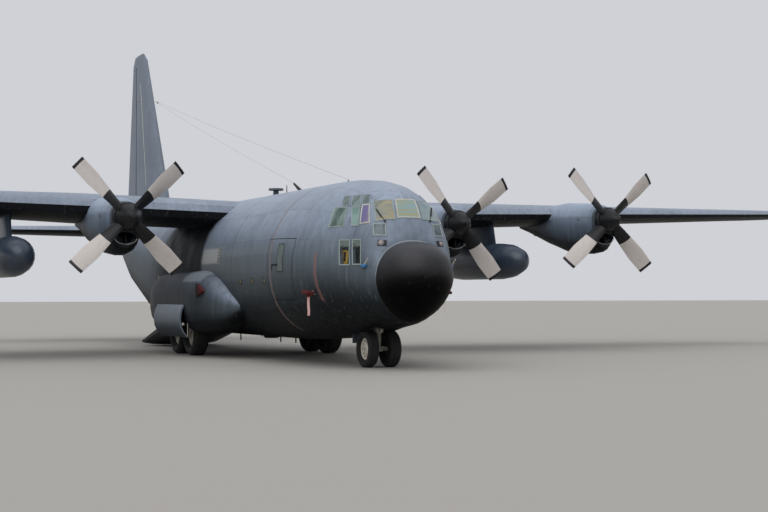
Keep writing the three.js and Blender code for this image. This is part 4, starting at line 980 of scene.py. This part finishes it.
# The intake's mouth: half width, and top and bottom below the hub. Splitter and latches: sizes and places.
engine = {
    "lip": 24, "mouth": (300, 410, 745), "mouthAhead": 236, "spread": (1.05, 1.08), "bareBelow": 600,
    "splitter": (16, 300, 250), "splitterAt": (8960, 610),
    "exhaust": [(134, -380), (138, 20), (158, 26), (164, 8), (160, -340)],
    "pipeEnd": 13260, "pipeDrop": 190,
    "latch": (26, 90, 30), "latchOut": 586, "latchUp": 60, "latchStations": (9500, 10350, 11300),
}
for hubName, (hubX, hubZ) in hubs.items():
    bm = bmesh.new()
    # A lip round the intake, bare metal along its foot.
    half, high, low = engine["mouth"]
    part = bmesh.new()
    bmesh.ops.create_circle(part, segments=40, radius=1.0)
    wider, taller = engine["spread"]
    spots = [
        at(hubX + v.co.x * half * wider, propY + engine["mouthAhead"] + (v.co.y < 0) * 4,
            hubZ - (high + low) / 2 + v.co.y * taller * (low - high) / 2) for v in part.verts]
    part.free()
    for start, end in zip(spots, spots[1:] + spots[:1]):
        bare = (start + end).z / 2 < size(hubZ - engine["bareBelow"])
        addRod(bm, start, end, engine["lip"] / 2, edges=8, material=0 if bare else 2)
    # The splitter in the oil cooler's mouth.
    y, drop = engine["splitterAt"]
    addBlock(bm, at(hubX, y, hubZ - drop), engine["splitter"], 4, material=2)
    # A double-walled pipe end in the exhaust.
    pipe = at(hubX, engine["pipeEnd"], hubZ - engine["pipeDrop"])
    addTurned(bm, engine["exhaust"], pipe, (0, 1, 0), steps=36, material=1)
    # Cowling latches.
    for sign in sides.values():
        for y in engine["latchStations"]:
            latch = at(hubX + sign * engine["latchOut"], y, hubZ + engine["latchUp"])
            addBlock(bm, latch, engine["latch"], 8)
    finishPiece(f"engine_trim_{hubName}", bm, [steel, soot, blackRubber])
print("engines are trimmed")

# Taut wires from the fin's leading edge down to the mast and to a post on the crown, each with an insulator
# near the fin.
wires = {
    "mastTop": (0, 9190, 5140), "finLevel": 9566, "crownFoot": (0, 4950, 4950), "postFoot": (0, 4990, 4950),
    "radius": 4, "sag": 60, "spans": 12,
    "insulator": [(0, 0), (24, 20), (28, 110), (0, 140)], "insulatorAt": 700,
}
# Rods that stand on the crown as foot, top, radii, edges and material: pole, sleeve on the mast, collar
# under the disc.
crownRods = [
    ((0, 9830, 4850), (0, 9830, 5130), 16, 10, 14, 1),
    ((0, 8470, 4803), (0, 9203, 5132), 64, 28, 20, 1),
    ((0, 10800, 4840), (0, 10800, 5040), 95, 80, 20, 2),
]
bm = bmesh.new()
finSkin = skinOf("fin")
finFoot = onSkin(0, 24000, wires["finLevel"], (0, 1, 0), finSkin)[0]
for foot in (wires["mastTop"], wires["crownFoot"]):
    end = at(*foot)
    shares = [i / wires["spans"] for i in range(wires["spans"] + 1)]
    points = [
        finFoot.lerp(end, share) - shift(0, 0, wires["sag"] * 4 * share * (1 - share)) for share in shares]
    addChain(bm, points, wires["radius"], 6)
    along = (end - finFoot).normalized()
    addTurned(bm, wires["insulator"], finFoot + along * size(wires["insulatorAt"]), along, steps=16)
addRod(bm, at(*wires["crownFoot"]), onSkin(*wires["postFoot"], (0, 0, -1))[0] - shift(0, 0, 10), 20, 30)
for foot, top, wide, narrow, edges, material in crownRods:
    addRod(bm, at(*foot), at(*top), wide, narrow, edges, material)
finishPiece("aerial_wires", bm, [gearEnamel, blackRubber, tankPaint])

# A conduit let into each side of the fin, and a small fitting ahead of the rudder, as [y, z].
conduit = {
    "top": (26860, 10398), "foot": (25280, 6180), "radius": 13, "spans": 12,
    "fitting": (27190, 9758), "fittingSize": (50, 160, 80),
}
bm = bmesh.new()
for sign in sides.values():
    spots = []
    for i in range(conduit["spans"] + 1):
        middle = Vector(conduit["top"]).lerp(Vector(conduit["foot"]), i / conduit["spans"])
        spots.append(onSide(*middle, sign, finSkin)[0])
    addChain(bm, spots, conduit["radius"], 8)
    addBlock(bm, onSide(*conduit["fitting"], sign, finSkin)[0], conduit["fittingSize"], 12, material=1)
finishPiece("fin_fittings", bm, [creamEnamel, gearEnamel])

# Wing tip lights, red to port and green to starboard, and a red beacon on the crown.
lights = {
    "tip": (20150, 11960, 4700), "tipShape": [(0, 150), (34, 110), (46, 0), (40, -90), (0, -110)],
    "beacon": (0, 18700, 4860), "beaconShape": [(0, 120), (50, 100), (70, 40), (76, 0)],
}
bm = bmesh.new()
x, y, z = lights["tip"]
for index, sign in enumerate(sides.values()):
    addTurned(bm, lights["tipShape"], at(sign * x, y, z), (0, -1, 0), steps=20, material=index)
addTurned(bm, lights["beaconShape"], at(*lights["beacon"]), (0, 0, 1), steps=24)
finishPiece("lights", bm, [redLens, greenLens])

# Hold floor: roller tracks and tie-down rings.
hold = {
    "tracks": (-900, -420, 420, 900), "track": (90, 10000, 16), "trackAt": (10200, 1040),
    "rings": (-1200, 0, 1200), "ring": [(32, 0), (46, 6), (46, 14), (32, 20)],
    "rows": (5700, 640, 18), "level": 1036,
}
bm = bmesh.new()
for x in hold["tracks"]:
    addBlock(bm, at(x, *hold["trackAt"]), hold["track"], 5)
for y in evenly(*hold["rows"]):
    for x in hold["rings"]:
        addTurned(bm, hold["ring"], at(x, y, hold["level"]), (0, 0, 1), steps=16)
finishPiece("hold_tracks", bm, [steel])

# Wheel guides and cross treads on the ramp's upper face.
treads = {
    "guides": (-950, 950), "guideRadius": 22, "reach": (17900, 20900),
    "across": (-880, 880), "treadRadius": 10, "rows": (18000, 230, 13), "above": 1500,
}
rampSkin = skinOf("cargo_ramp")
bm = bmesh.new()


def onRamp(x, y):
    return onSkin(x, y, treads["above"], (0, 0, -1), rampSkin)[0]


for x in treads["guides"]:
    addRod(bm, *[onRamp(x, y) for y in treads["reach"]], treads["guideRadius"], edges=8)
for y in evenly(*treads["rows"]):
    addRod(bm, *[onRamp(x, y) for x in treads["across"]], treads["treadRadius"], edges=6)
finishPiece("ramp_treads", bm, [steel], "cargo_ramp")
print("lights, wires, hold and ramp are in")
